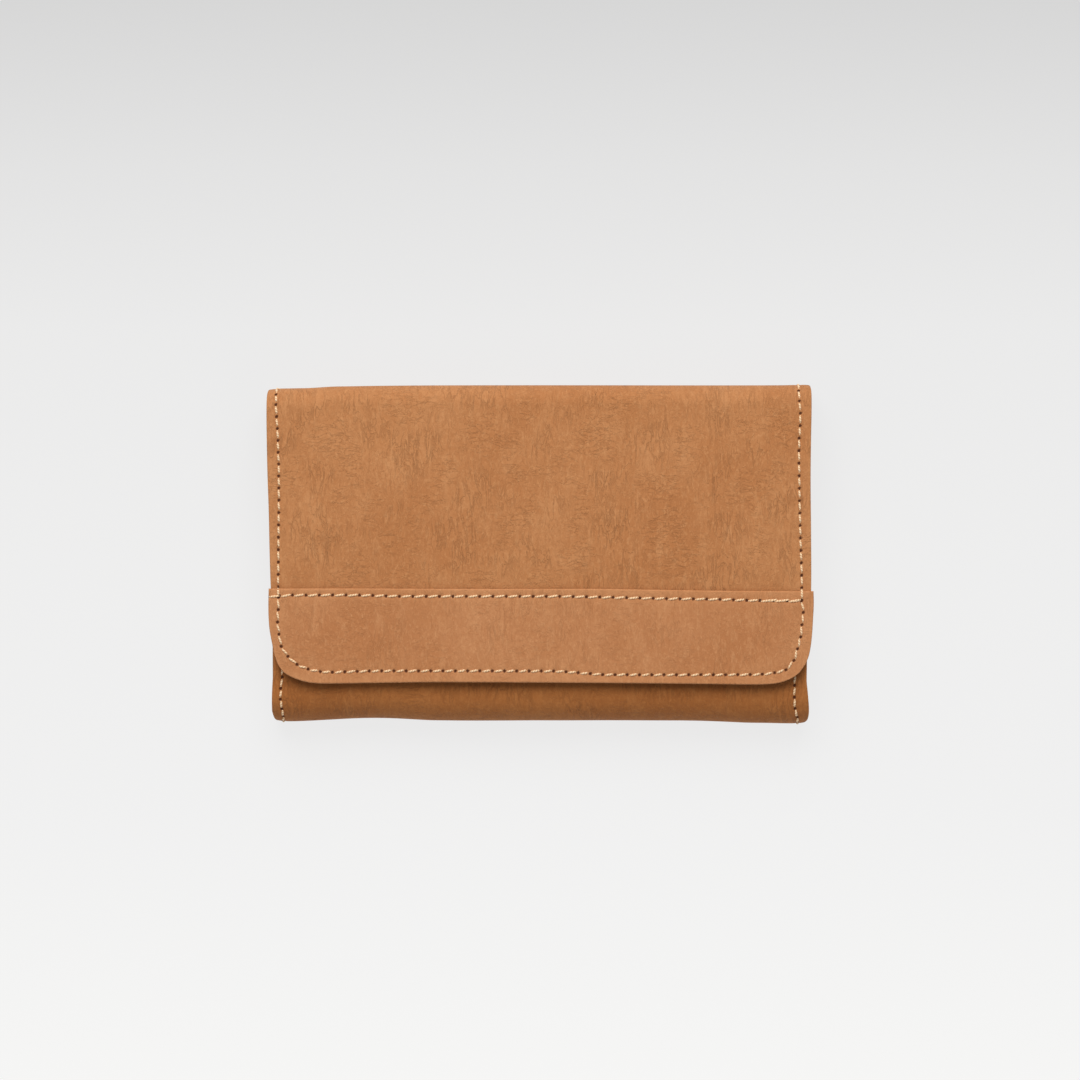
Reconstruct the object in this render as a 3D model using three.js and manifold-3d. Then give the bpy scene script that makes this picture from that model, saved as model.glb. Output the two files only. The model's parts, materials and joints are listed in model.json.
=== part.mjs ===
// Long flap wallet, lying on its back: +Z up, +X to the right, +Y towards the top fold.
// The origin is the middle of the underside. All sizes are in millimetres.
import * as THREE from 'three';
import { mergeVertices } from 'three/addons/utils/BufferGeometryUtils.js';
import Module from 'manifold-3d';

const wasm = await Module();
wasm.setup();

// ---- driving dimensions ----
const HALF_LENGTH = 58.8;        // top fold and bottom fold
const BODY_HALF = 93.6;          // back and front panel half-width
const FLAP_HALF = 94.6;          // flap half-width
const BAND_HALF = 95.2;          // closure band half-width
const LEATHER = 1.4;             // main leather
const LINING = 0.6;              // lining leather, pocket walls and gussets
const CARD = 0.5;                // card strip leather
const BAND = 1.1;                // closure band leather
const SKIN_GAP = 0.1;            // between glued layers
const COMPARTMENT = 4.6;         // front and rear note compartments
const PURSE = 4.4;               // inside of the zip pocket
const FLAP_GAP = 1.5;            // front panel to flap, taken up by the snap
const TOP_RADIUS = 7;            // top fold corners
const FOLD_GAP = 0.3;            // slit between solids that turn about a fold
const FLAP_EDGE_Y = -45.2;       // lower edge of the flap
const FLAP_CORNER = 14;          // flap's lower corners
const BAND_TOP_Y = -12.2;        // upper cut edge of the band
const FRONT_TOP_Y = 38;          // upper edge of the front panel
const SNAP_Y = -28.4;            // magnetic snap
const PURSE_HALF = 90;           // zip pocket half-width
const PURSE_BOTTOM = -46;
const CHAIN_Y = 37;              // plane of the zip teeth
const SLIDER_X = 76;             // slider with the zip closed

// ---- stack of layers, from the underside up ----
const backTop = LEATHER;
const backLiningLow = backTop + SKIN_GAP;
const backLiningTop = backLiningLow + LINING;
const purseLow = backLiningTop + COMPARTMENT;
const purseInLow = purseLow + LINING;
const purseInTop = purseInLow + PURSE;
const purseTop = purseInTop + LINING;
const card1 = purseTop + SKIN_GAP;
const card2 = card1 + CARD + SKIN_GAP;
const card3 = card2 + CARD + SKIN_GAP;
const cardTop = card3 + CARD;
const frontLiningLow = cardTop + COMPARTMENT;
const frontLow = frontLiningLow + LINING + SKIN_GAP;
const frontTop = frontLow + LEATHER;
const flapLiningLow = frontTop + FLAP_GAP;
const flapLow = flapLiningLow + LINING + SKIN_GAP;
const flapTop = flapLow + LEATHER;
const bandLow = flapTop + SKIN_GAP;
const bandTop = bandLow + BAND;

// ---- colours ----
const leather = (c = 0xb87c4e) => new THREE.MeshStandardMaterial({ color: c, roughness: 0.82, metalness: 0 });
const lining = () => leather(0xa06a42);
const thread = () => new THREE.MeshStandardMaterial({ color: 0xf0cfa4, roughness: 0.7, metalness: 0 });
const brass = () => new THREE.MeshStandardMaterial({ color: 0xb08a4a, roughness: 0.35, metalness: 1 });
const tape = () => new THREE.MeshStandardMaterial({ color: 0x6e4a2e, roughness: 0.9, metalness: 0 });

const wallet = new THREE.Group();
wallet.name = 'long_wallet';

function add(name, geometry, material) {
  const mesh = new THREE.Mesh(geometryOf(solid(geometry)), material);
  mesh.name = name;
  wallet.add(mesh);
  return mesh;
}

// ---- solids ----
const acrossX = new THREE.Matrix4().makeBasis(
  new THREE.Vector3(0, 1, 0), new THREE.Vector3(0, 0, 1), new THREE.Vector3(1, 0, 0));

// A section in the YZ plane, drawn anticlockwise, carried across the width from x0 to x1.
function across(points, x0, x1) {
  const shape = new THREE.Shape(points.map(([y, z]) => new THREE.Vector2(y, z)));
  const g = new THREE.ExtrudeGeometry(shape, { depth: x1 - x0, bevelEnabled: false, steps: 1 });
  g.applyMatrix4(acrossX);
  g.translate(x0, 0, 0);
  return g;
}

// An outline in the XY plane, raised from z0 to z1.
function sheet(shape, z0, z1) {
  const g = new THREE.ExtrudeGeometry(shape, { depth: z1 - z0, bevelEnabled: false, steps: 1, curveSegments: 10 });
  g.translate(0, 0, z0);
  return g;
}

function box(x0, x1, y0, y1, z0, z1) {
  const g = new THREE.BoxGeometry(x1 - x0, y1 - y0, z1 - z0);
  g.translate((x0 + x1) / 2, (y0 + y1) / 2, (z0 + z1) / 2);
  return g;
}

function disc(radius, x, y, z0, z1, sides = 40) {
  const g = new THREE.CylinderGeometry(radius, radius, z1 - z0, sides);
  g.rotateX(Math.PI / 2);
  g.translate(x, y, (z0 + z1) / 2);
  return g;
}

function solid(geometry) {
  const g = geometry.clone();
  g.deleteAttribute('normal');
  g.deleteAttribute('uv');
  const m = mergeVertices(g, 1e-4);
  const tri = [];
  for (let i = 0; i < m.index.count; i += 3) {
    const [a, b, c] = [m.index.getX(i), m.index.getX(i + 1), m.index.getX(i + 2)];
    if (a !== b && b !== c && c !== a) tri.push(a, b, c);
  }
  return new wasm.Manifold(new wasm.Mesh({
    numProp: 3,
    vertProperties: new Float32Array(m.attributes.position.array),
    triVerts: new Uint32Array(tri),
  }));
}

function geometryOf(manifold) {
  const mesh = manifold.getMesh();
  const g = new THREE.BufferGeometry();
  g.setAttribute('position', new THREE.BufferAttribute(new Float32Array(mesh.vertProperties), 3));
  g.setIndex(new THREE.BufferAttribute(new Uint32Array(mesh.triVerts), 1));
  g.computeVertexNormals();
  return g;
}

// Points on an arc about (cy, cz), angles in degrees from +Y towards +Z.
function arc(cy, cz, r, a0, a1, n) {
  const out = [];
  for (let i = 0; i <= n; i++) {
    const a = THREE.MathUtils.degToRad(a0 + (a1 - a0) * i / n);
    out.push([cy + r * Math.cos(a), cz + r * Math.sin(a)]);
  }
  return out;
}

// The angle that half the slit takes at radius r.
const slit = (r) => THREE.MathUtils.radToDeg(FOLD_GAP / 2 / r);

// ---- top fold: two rounded corners about C1 and C2 ----
const C1 = [HALF_LENGTH - TOP_RADIUS, TOP_RADIUS];
const C2 = [HALF_LENGTH - TOP_RADIUS, flapTop - TOP_RADIUS];
const rOut = TOP_RADIUS, rIn = TOP_RADIUS - LEATHER;
const rLinOut = rIn - SKIN_GAP, rLinIn = rLinOut - LINING;

// ---- bottom fold about C3 ----
const BOTTOM_RADIUS = frontTop / 2;
const C3 = [-HALF_LENGTH + BOTTOM_RADIUS, BOTTOM_RADIUS];
const bOut = BOTTOM_RADIUS, bIn = BOTTOM_RADIUS - LEATHER;
const bLinOut = bIn - SKIN_GAP, bLinIn = bLinOut - LINING;

// A strip that follows a corner: outer arc one way, inner arc back.
function cornerStrip(c, ro, ri, a0, a1, n) {
  return { out: arc(c[0], c[1], ro, a0, a1, n), back: arc(c[0], c[1], ri, a1, a0, n) };
}

// ---- back panel, from the bottom fold to half-way round the lower corner of the top fold ----
{
  const s = slit(rOut);
  const out = arc(C1[0], C1[1], rOut, -90, -45 - s, 5);
  const back = arc(C1[0], C1[1], rIn, -45 - slit(rIn), -90, 5);
  add('back_panel', across([[C3[0] + SKIN_GAP, 0], ...out, ...back, [C3[0] + SKIN_GAP, backTop]], -BODY_HALF, BODY_HALF), leather());
}
{
  const out = arc(C1[0], C1[1], rLinOut, -90, -45 - slit(rLinOut), 5);
  const back = arc(C1[0], C1[1], rLinIn, -45 - slit(rLinIn), -90, 5);
  add('back_lining', across([[C3[0] + SKIN_GAP, backLiningLow], ...out, ...back, [C3[0] + SKIN_GAP, backLiningTop]], -BODY_HALF + 0.4, BODY_HALF - 0.4), lining());
}

// ---- bottom fold, from the back panel to half-way round its upper corner ----
{
  const a0 = 270, a1 = 135 + slit(bOut);
  add('bottom_fold', across([...arc(C3[0], C3[1], bIn, a1, a0, 18), ...arc(C3[0], C3[1], bOut, a0, a1, 18)].reverse(), -BODY_HALF, BODY_HALF), leather());
  add('bottom_fold_lining', across([...arc(C3[0], C3[1], bLinIn, 135 + slit(bLinIn), a0, 18), ...arc(C3[0], C3[1], bLinOut, a0, 135 + slit(bLinOut), 18)].reverse(), -BODY_HALF + 0.4, BODY_HALF - 0.4), lining());
}

// ---- spine: the middle of the top fold ----
{
  const s = slit(rOut), si = slit(rIn);
  add('spine', across([
    ...arc(C1[0], C1[1], rOut, -45 + s, 0, 5), ...arc(C2[0], C2[1], rOut, 0, 45 - s, 5),
    ...arc(C2[0], C2[1], rIn, 45 - si, 0, 5), ...arc(C1[0], C1[1], rIn, 0, -45 + si, 5),
  ], -BODY_HALF, BODY_HALF), leather());
  const t = slit(rLinOut), ti = slit(rLinIn);
  add('spine_lining', across([
    ...arc(C1[0], C1[1], rLinOut, -45 + t, 0, 5), ...arc(C2[0], C2[1], rLinOut, 0, 45 - t, 5),
    ...arc(C2[0], C2[1], rLinIn, 45 - ti, 0, 5), ...arc(C1[0], C1[1], rLinIn, 0, -45 + ti, 5),
  ], -BODY_HALF + 0.4, BODY_HALF - 0.4), lining());
}

// ---- flap ----
function flapOutline(half, y0, y1, r) {
  const s = new THREE.Shape();
  s.moveTo(-half, y1);
  s.lineTo(-half, y0 + r);
  s.absarc(-half + r, y0 + r, r, Math.PI, 1.5 * Math.PI, false);
  s.lineTo(half - r, y0);
  s.absarc(half - r, y0 + r, r, 1.5 * Math.PI, 2 * Math.PI, false);
  s.lineTo(half, y1);
  s.lineTo(-half, y1);
  return s;
}
const PRONG_X = 3.2, PRONG_WIDE = 4.4, PRONG_THICK = 0.5;
// The two slits that the snap's prongs pass through.
function slit2(play, z0, z1) {
  const a = PRONG_THICK / 2 + play, b = PRONG_WIDE / 2 + play;
  const one = (k) => solid(box(k * PRONG_X - a, k * PRONG_X + a, SNAP_Y - b, SNAP_Y + b, z0, z1));
  return one(-1).add(one(1));
}
{
  // A section that starts at 45 degrees on the corner and runs flat to the lower edge, trimmed to the flap's outline.
  const body = (ro, ri, low, high, half, edge, corner) => solid(across([
    [edge, low], ...arc(C2[0], C2[1], ri, 90, 45 + slit(ri), 5), ...arc(C2[0], C2[1], ro, 45 + slit(ro), 90, 5), [edge, high],
  ], -half, half)).intersect(solid(sheet(flapOutline(half + 0.004, edge - 0.004, HALF_LENGTH + 5, corner), low - 12, high + 4)));
  add('flap_panel', geometryOf(body(rOut, rIn, flapLow, flapTop, FLAP_HALF, FLAP_EDGE_Y, FLAP_CORNER)
    .subtract(slit2(0.3, flapLow - 1, flapTop + 1))), leather());
  add('flap_lining', geometryOf(body(rLinOut, rLinIn, flapLiningLow, flapLiningLow + LINING, FLAP_HALF - 1, FLAP_EDGE_Y + 1, FLAP_CORNER - 1)
    .subtract(solid(disc(7.6, 0, SNAP_Y, flapLiningLow - 1, flapLow + 1)))), lining());

  // The band lies over the lower part of the flap and hides the snap's washer in a skived recess.
  const band = solid(sheet(flapOutline(BAND_HALF, FLAP_EDGE_Y - 0.3, BAND_TOP_Y, FLAP_CORNER), bandLow, bandTop));
  const recess = solid(disc(7, 0, SNAP_Y, bandLow - 1, bandLow + 0.55));
  add('closure_band', geometryOf(band.subtract(recess)), leather(0xb57a4c));
}

// ---- front panel: upper half of the bottom fold's corner, then flat to its open top edge ----
{
  const profile = [
    ...arc(C3[0], C3[1], bIn, 90, 135 - slit(bIn), 6), ...arc(C3[0], C3[1], bOut, 135 - slit(bOut), 90, 6),
    [FRONT_TOP_Y, frontTop], [FRONT_TOP_Y, frontLow],
  ].reverse();
  const panel = solid(across(profile, -BODY_HALF, BODY_HALF));
  const recess = solid(disc(7, 0, SNAP_Y, frontLow - 1, frontLow + 0.5));
  const cut = panel.subtract(recess).subtract(slit2(0.2, frontLow - 1, frontTop + 1));
  add('front_panel', geometryOf(cut), leather());
  add('front_lining', across([
    ...arc(C3[0], C3[1], bLinIn, 90, 135 - slit(bLinIn), 6), ...arc(C3[0], C3[1], bLinOut, 135 - slit(bLinOut), 90, 6),
    [FRONT_TOP_Y, frontLiningLow + LINING], [FRONT_TOP_Y, frontLiningLow],
  ].reverse(), -BODY_HALF + 0.4, BODY_HALF - 0.4), lining());
}

// ---- magnetic snap ----
function turned(profile, z = 0) {
  const g = new THREE.LatheGeometry(profile.map(([r, h]) => new THREE.Vector2(r, h)), 40);
  g.rotateX(Math.PI / 2);
  g.translate(0, SNAP_Y, z);
  return g;
}
{
  const zs = frontTop + 0.03;
  let stud = solid(turned([[0, 0], [6, 0], [6.2, 0.15], [6.2, 0.32], [5.9, 0.45], [2.3, 0.45], [2.3, 1.6], [2.0, 1.85], [0, 1.85]], zs));
  for (const k of [-1, 1]) stud = stud.add(solid(box(k * PRONG_X - PRONG_THICK / 2, k * PRONG_X + PRONG_THICK / 2, SNAP_Y - PRONG_WIDE / 2, SNAP_Y + PRONG_WIDE / 2, frontLow + 0.05, zs + 0.2)));
  add('snap_stud', geometryOf(stud), brass());
  let washer = solid(disc(6.6, 0, SNAP_Y, frontLow + 0.05, frontLow + 0.42));
  for (const k of [-1, 1]) washer = washer.subtract(solid(box(k * PRONG_X - 0.45, k * PRONG_X + 0.45, SNAP_Y - 2.4, SNAP_Y + 2.4, frontLow - 1, frontLow + 2)));
  add('snap_stud_washer', geometryOf(washer), brass());

  const zt = frontTop + 0.7, top = flapLow - 0.04;
  let socket = solid(turned([[3, 0], [6.6, 0], [7, 0.3], [7, top - zt], [3, top - zt], [2.9, 0.3], [3, 0]], zt));
  for (const k of [-1, 1]) socket = socket.add(solid(box(k * (PRONG_X + 0.1) - PRONG_THICK / 2 + 0, k * (PRONG_X + 0.1) + PRONG_THICK / 2, SNAP_Y - PRONG_WIDE / 2, SNAP_Y + PRONG_WIDE / 2, top - 0.3, bandLow + 0.42)));
  add('snap_socket', geometryOf(socket), brass());
  let cap = solid(disc(6.6, 0, SNAP_Y, bandLow, bandLow + 0.4));
  for (const k of [-1, 1]) cap = cap.subtract(solid(box(k * PRONG_X - 0.5, k * PRONG_X + 0.5, SNAP_Y - 2.4, SNAP_Y + 2.4, bandLow - 1, bandLow + 2)));
  add('snap_socket_washer', geometryOf(cap), brass());
}

// ---- gussets: narrow strips folded inwards, one leg on each neighbouring wall ----
function gusset(name, side, low, high) {
  const edge = BODY_HALF - 0.8, deep = 13, t = LINING;
  const y0 = C3[0] + 2, y1 = FRONT_TOP_Y - 1;
  const s = new THREE.Shape();
  // Section in the XZ plane: a flat U that opens outwards.
  const pts = [
    [edge, low], [edge, low + t], [edge - deep + 1.2, low + t], [edge - deep + t, low + t + 0.8],
    [edge - deep + t, high - t - 0.8], [edge - deep + 1.2, high - t], [edge, high - t], [edge, high],
    [edge - deep + 1, high], [edge - deep, high - 1.1], [edge - deep, low + 1.1], [edge - deep + 1, low],
  ];
  s.setFromPoints(pts.map(([x, z]) => new THREE.Vector2(side * x, z)));
  const g = new THREE.ExtrudeGeometry(s, { depth: y1 - y0, bevelEnabled: false, steps: 1 });
  g.rotateX(Math.PI / 2);          // section's y becomes Z, and the depth runs along -Y
  g.translate(0, y1, 0);
  add(name, g, lining());
}
gusset('gusset_rear_left', -1, backLiningTop + 0.1, purseLow - 0.1);
gusset('gusset_rear_right', 1, backLiningTop + 0.1, purseLow - 0.1);
gusset('gusset_front_left', -1, cardTop + 0.1, frontLiningLow - 0.1);
gusset('gusset_front_right', 1, cardTop + 0.1, frontLiningLow - 0.1);

// ---- zip pocket: a rear wall, and a front wall whose sides and bottom turn back to it ----
add('purse_rear_wall', box(-PURSE_HALF, PURSE_HALF, PURSE_BOTTOM, CHAIN_Y + 1, purseLow, purseInLow), lining());
{
  const tray = solid(box(-PURSE_HALF, PURSE_HALF, PURSE_BOTTOM, CHAIN_Y + 1, purseInLow + SKIN_GAP, purseTop));
  const inside = solid(box(-PURSE_HALF + LINING, PURSE_HALF - LINING, PURSE_BOTTOM + LINING, CHAIN_Y + 5, purseInLow - 1, purseInTop));
  add('purse_front_wall', geometryOf(tray.subtract(inside)), lining());
}
const CARD_TOPS = [29, 17, 5];
[card1, card2, card3].forEach((z, i) => {
  const s = new THREE.Shape();
  const h = PURSE_HALF - 1.2, y1 = CARD_TOPS[i], y0 = PURSE_BOTTOM + 1;
  s.moveTo(-h, y0);
  s.lineTo(h, y0);
  s.lineTo(h, y1);
  s.lineTo(h - 78, y1);
  s.lineTo(h - 80, y1 - 1.2);      // shallow dip between the two columns of slots
  s.lineTo(-h + 80, y1 - 1.2);
  s.lineTo(-h + 78, y1);
  s.lineTo(-h, y1);
  s.lineTo(-h, y0);
  add(`card_strip_${i + 1}`, sheet(s, z, z + CARD), leather(0xac7448));
});

// ---- zip: tapes, two rows of teeth, stops, slider and pull ----
const zMid = (purseInLow + purseInTop) / 2;
const SLIT_HALF = 0.45;            // half the slit between the rows
const ROW = 1.15;                  // width of one row of teeth
for (const [name, k] of [['rear', -1], ['front', 1]]) {
  const wall = k < 0 ? purseInLow + 0.1 : purseInTop - 0.1;
  const inner = zMid + k * (SLIT_HALF + ROW + 0.1);
  const t = 0.3;
  const leg = [[CHAIN_Y - 8, wall], [CHAIN_Y + 0.15, wall], [CHAIN_Y + 0.15, inner], [CHAIN_Y - 0.15, inner], [CHAIN_Y - 0.15, wall - k * t], [CHAIN_Y - 8, wall - k * t]];
  const half = PURSE_HALF - LINING - 0.6;
  add(`zip_tape_${name}`, across(k < 0 ? leg.reverse() : leg, -half, half), tape());

  // A row of teeth on a common cord: a bar whose free edge is notched.
  const rowHalf = 82, pitch = 2;
  const s = new THREE.Shape();
  const a = zMid + k * (SLIT_HALF + ROW), b = zMid + k * (SLIT_HALF + 0.5), c = zMid + k * SLIT_HALF;
  const pts = [[-rowHalf, a]];
  const shift = k < 0 ? 0 : pitch / 2;
  for (let x = -rowHalf + 0.4 + shift; x < rowHalf - 1.6; x += pitch) pts.push([x, b], [x + 0.15, c], [x + 0.95, c], [x + 1.1, b]);
  pts.push([rowHalf, b], [rowHalf, a]);
  pts.splice(1, 0, [-rowHalf, b]);
  s.setFromPoints(pts.map(([x, z]) => new THREE.Vector2(x, z)));
  const g = new THREE.ExtrudeGeometry(s, { depth: 1.8, bevelEnabled: false, steps: 1 });
  g.rotateX(Math.PI / 2);
  g.translate(0, CHAIN_Y + 0.9, 0);
  add(`zip_teeth_${name}`, g, brass());
}
for (const [name, x] of [['left', -84.3], ['right', 82.8]]) {
  add(`zip_stop_${name}`, box(x, x + 1.5, CHAIN_Y - 1, CHAIN_Y + 1.1, zMid - 1.2, zMid + 1.2), brass());
}
const BAIL_Y = CHAIN_Y + 3.3;
{
  const x = SLIDER_X, y = CHAIN_Y;
  const plate = (y0, y1) => {
    const s = new THREE.Shape();
    s.moveTo(x - 3.6, zMid - 1.3);
    s.lineTo(x + 1.5, zMid - 1.55);
    s.lineTo(x + 4, zMid - 1.2);
    s.lineTo(x + 4, zMid + 1.2);
    s.lineTo(x + 1.5, zMid + 1.55);
    s.lineTo(x - 3.6, zMid + 1.3);
    const g = new THREE.ExtrudeGeometry(s, { depth: y1 - y0, bevelEnabled: false, steps: 1 });
    g.rotateX(Math.PI / 2);
    g.translate(0, y1, 0);
    return solid(g);
  };
  let slider = plate(y + 1.25, y + 2.05).add(plate(y - 2.05, y - 1.25));
  slider = slider.add(solid(box(x - 1.4, x + 1.4, y - 1.6, y + 1.6, zMid - 0.22, zMid + 0.22)));
  // bridge that holds the pull's bar
  for (const k of [-1, 1]) slider = slider.add(solid(box(x + k * 2.2 - 0.45, x + k * 2.2 + 0.45, y + 1.9, y + 5, zMid - 0.45, zMid + 0.45)));
  slider = slider.add(solid(box(x - 2.65, x + 2.65, y + 4.3, y + 5, zMid - 0.45, zMid + 0.45)));
  add('zip_slider', geometryOf(slider), brass());

  // pull: a bar under the bridge, two arms beside it, and a tab
  const bar = new THREE.CylinderGeometry(0.45, 0.45, 3.2, 16);
  bar.rotateX(Math.PI / 2);
  bar.translate(x, BAIL_Y, zMid);
  let pull = solid(bar);
  for (const k of [-1, 1]) pull = pull.add(solid(box(x - 4.8, x + 0.4, BAIL_Y - 0.4, BAIL_Y + 0.4, zMid + k * 1.2 - 0.4, zMid + k * 1.2 + 0.4)));
  const s = new THREE.Shape();
  s.moveTo(x - 4.4, zMid - 1.6);
  s.lineTo(x - 4.4, zMid + 1.6);
  s.lineTo(x - 11.5, zMid + 1.6);
  s.absarc(x - 11.5, zMid, 1.6, Math.PI / 2, 1.5 * Math.PI, false);
  s.lineTo(x - 4.4, zMid - 1.6);
  const tab = new THREE.ExtrudeGeometry(s, { depth: 0.8, bevelEnabled: false, steps: 1, curveSegments: 10 });
  tab.rotateX(Math.PI / 2);
  tab.translate(0, BAIL_Y + 0.4, 0);
  const eye = new THREE.CylinderGeometry(0.7, 0.7, 4, 20);
  eye.translate(x - 11.3, BAIL_Y, zMid);
  pull = pull.add(solid(tab)).subtract(solid(eye));
  add('zip_pull', geometryOf(pull), brass());
}

// ---- sewing thread, each run as one thin strip on the leather ----
const THREAD = 0.8, THREAD_UP = 0.35;
const SEAM = 90.9, BAND_SEAM_Y = -40.6, SEAM_CORNER = 10.4;
for (const [name, k] of [['left', -1], ['right', 1]]) {
  add(`flap_side_thread_${name}`, box(k * SEAM - THREAD / 2, k * SEAM + THREAD / 2, BAND_TOP_Y + 0.4, C2[0] - 0.5, flapTop + 0.05, flapTop + 0.05 + THREAD_UP), thread());
  add(`front_side_thread_${name}`, box(k * 89.8 - THREAD / 2, k * 89.8 + THREAD / 2, C3[0] + 0.5, FRONT_TOP_Y - 3, frontTop + 0.05, frontTop + 0.05 + THREAD_UP), thread());
}
{
  const s = new THREE.Shape();
  const o = SEAM + THREAD / 2, i = SEAM - THREAD / 2, yo = BAND_SEAM_Y - THREAD / 2, yi = BAND_SEAM_Y + THREAD / 2;
  const ro = SEAM_CORNER + THREAD / 2, ri = SEAM_CORNER - THREAD / 2, y1 = BAND_TOP_Y - 4;
  s.moveTo(-o, y1);
  s.lineTo(-o, yo + ro);
  s.absarc(-o + ro, yo + ro, ro, Math.PI, 1.5 * Math.PI, false);
  s.lineTo(o - ro, yo);
  s.absarc(o - ro, yo + ro, ro, 1.5 * Math.PI, 2 * Math.PI, false);
  s.lineTo(o, y1);
  s.lineTo(i, y1);
  s.lineTo(i, yi + ri);
  s.absarc(i - ri, yi + ri, ri, 2 * Math.PI, 1.5 * Math.PI, true);
  s.lineTo(-i + ri, yi);
  s.absarc(-i + ri, yi + ri, ri, 1.5 * Math.PI, Math.PI, true);
  s.lineTo(-i, y1);
  s.lineTo(-o, y1);
  add('band_edge_thread', sheet(s, bandTop + 0.05, bandTop + 0.05 + THREAD_UP), thread());
}
add('band_top_thread', box(-94, 94, BAND_TOP_Y - 2.9, BAND_TOP_Y - 2.1, bandTop + 0.05, bandTop + 0.05 + THREAD_UP), thread());

export default wallet;
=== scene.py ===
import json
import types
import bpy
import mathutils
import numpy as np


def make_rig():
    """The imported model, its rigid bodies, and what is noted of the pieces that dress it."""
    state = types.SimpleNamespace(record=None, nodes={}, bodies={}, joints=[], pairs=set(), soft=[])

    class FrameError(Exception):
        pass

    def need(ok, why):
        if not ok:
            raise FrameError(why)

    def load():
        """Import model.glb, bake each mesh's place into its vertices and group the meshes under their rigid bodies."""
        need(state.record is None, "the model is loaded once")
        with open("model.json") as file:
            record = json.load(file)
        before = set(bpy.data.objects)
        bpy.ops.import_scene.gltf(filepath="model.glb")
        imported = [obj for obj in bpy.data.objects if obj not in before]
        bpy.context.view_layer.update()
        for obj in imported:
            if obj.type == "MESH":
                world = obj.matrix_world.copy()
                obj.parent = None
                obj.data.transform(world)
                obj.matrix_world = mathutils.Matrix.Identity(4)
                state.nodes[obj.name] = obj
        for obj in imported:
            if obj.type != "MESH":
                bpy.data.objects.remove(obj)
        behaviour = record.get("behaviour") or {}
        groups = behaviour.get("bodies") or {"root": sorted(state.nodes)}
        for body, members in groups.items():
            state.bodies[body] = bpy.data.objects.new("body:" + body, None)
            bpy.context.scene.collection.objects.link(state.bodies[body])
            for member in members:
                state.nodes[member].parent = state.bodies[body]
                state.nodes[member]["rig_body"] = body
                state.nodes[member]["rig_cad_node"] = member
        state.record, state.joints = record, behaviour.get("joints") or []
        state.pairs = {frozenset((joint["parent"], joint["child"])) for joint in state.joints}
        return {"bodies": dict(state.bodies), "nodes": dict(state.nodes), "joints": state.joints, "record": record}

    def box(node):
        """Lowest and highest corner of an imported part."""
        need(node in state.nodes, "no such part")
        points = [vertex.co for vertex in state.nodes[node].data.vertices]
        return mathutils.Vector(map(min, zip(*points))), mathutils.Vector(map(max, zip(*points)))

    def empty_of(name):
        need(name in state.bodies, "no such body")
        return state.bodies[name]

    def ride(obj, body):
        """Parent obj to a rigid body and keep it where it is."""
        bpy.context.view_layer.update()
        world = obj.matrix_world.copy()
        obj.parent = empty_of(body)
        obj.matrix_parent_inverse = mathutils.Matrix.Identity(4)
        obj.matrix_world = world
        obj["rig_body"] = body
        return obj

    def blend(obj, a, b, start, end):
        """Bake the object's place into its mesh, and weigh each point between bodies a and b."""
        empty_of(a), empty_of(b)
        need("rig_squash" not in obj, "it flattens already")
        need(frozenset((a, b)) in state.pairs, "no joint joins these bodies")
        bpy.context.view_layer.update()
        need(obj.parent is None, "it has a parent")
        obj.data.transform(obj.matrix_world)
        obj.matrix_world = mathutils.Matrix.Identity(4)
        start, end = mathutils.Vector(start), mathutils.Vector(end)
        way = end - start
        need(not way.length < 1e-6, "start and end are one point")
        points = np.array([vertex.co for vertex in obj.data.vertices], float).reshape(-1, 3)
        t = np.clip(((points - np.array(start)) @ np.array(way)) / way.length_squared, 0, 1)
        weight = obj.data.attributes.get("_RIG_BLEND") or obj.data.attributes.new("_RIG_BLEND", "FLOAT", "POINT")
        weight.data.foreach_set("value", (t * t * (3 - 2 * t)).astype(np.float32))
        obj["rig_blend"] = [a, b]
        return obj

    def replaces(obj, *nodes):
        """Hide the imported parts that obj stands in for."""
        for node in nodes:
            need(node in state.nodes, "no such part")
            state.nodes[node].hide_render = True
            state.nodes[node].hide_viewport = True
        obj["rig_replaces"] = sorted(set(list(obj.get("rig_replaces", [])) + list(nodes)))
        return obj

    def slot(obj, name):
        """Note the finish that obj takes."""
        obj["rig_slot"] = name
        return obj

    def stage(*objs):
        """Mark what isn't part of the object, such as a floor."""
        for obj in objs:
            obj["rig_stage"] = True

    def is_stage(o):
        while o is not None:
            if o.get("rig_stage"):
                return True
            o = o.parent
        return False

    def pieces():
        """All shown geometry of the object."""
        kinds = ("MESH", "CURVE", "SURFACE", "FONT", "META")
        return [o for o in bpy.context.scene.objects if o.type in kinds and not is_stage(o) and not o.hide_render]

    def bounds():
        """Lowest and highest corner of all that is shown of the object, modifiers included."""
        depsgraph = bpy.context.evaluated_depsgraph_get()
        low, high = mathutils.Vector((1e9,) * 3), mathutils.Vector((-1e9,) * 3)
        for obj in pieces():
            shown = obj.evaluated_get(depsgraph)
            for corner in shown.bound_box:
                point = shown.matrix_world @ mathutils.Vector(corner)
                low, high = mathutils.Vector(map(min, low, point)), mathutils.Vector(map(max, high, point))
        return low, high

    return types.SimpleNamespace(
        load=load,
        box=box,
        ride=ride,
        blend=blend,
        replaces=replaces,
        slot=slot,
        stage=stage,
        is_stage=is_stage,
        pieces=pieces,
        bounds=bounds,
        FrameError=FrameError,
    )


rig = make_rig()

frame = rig.load()

import bpy
import json
import math
import numpy as np
from mathutils import Vector, noise

CAD_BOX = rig.bounds()
MM = 0.001

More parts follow.
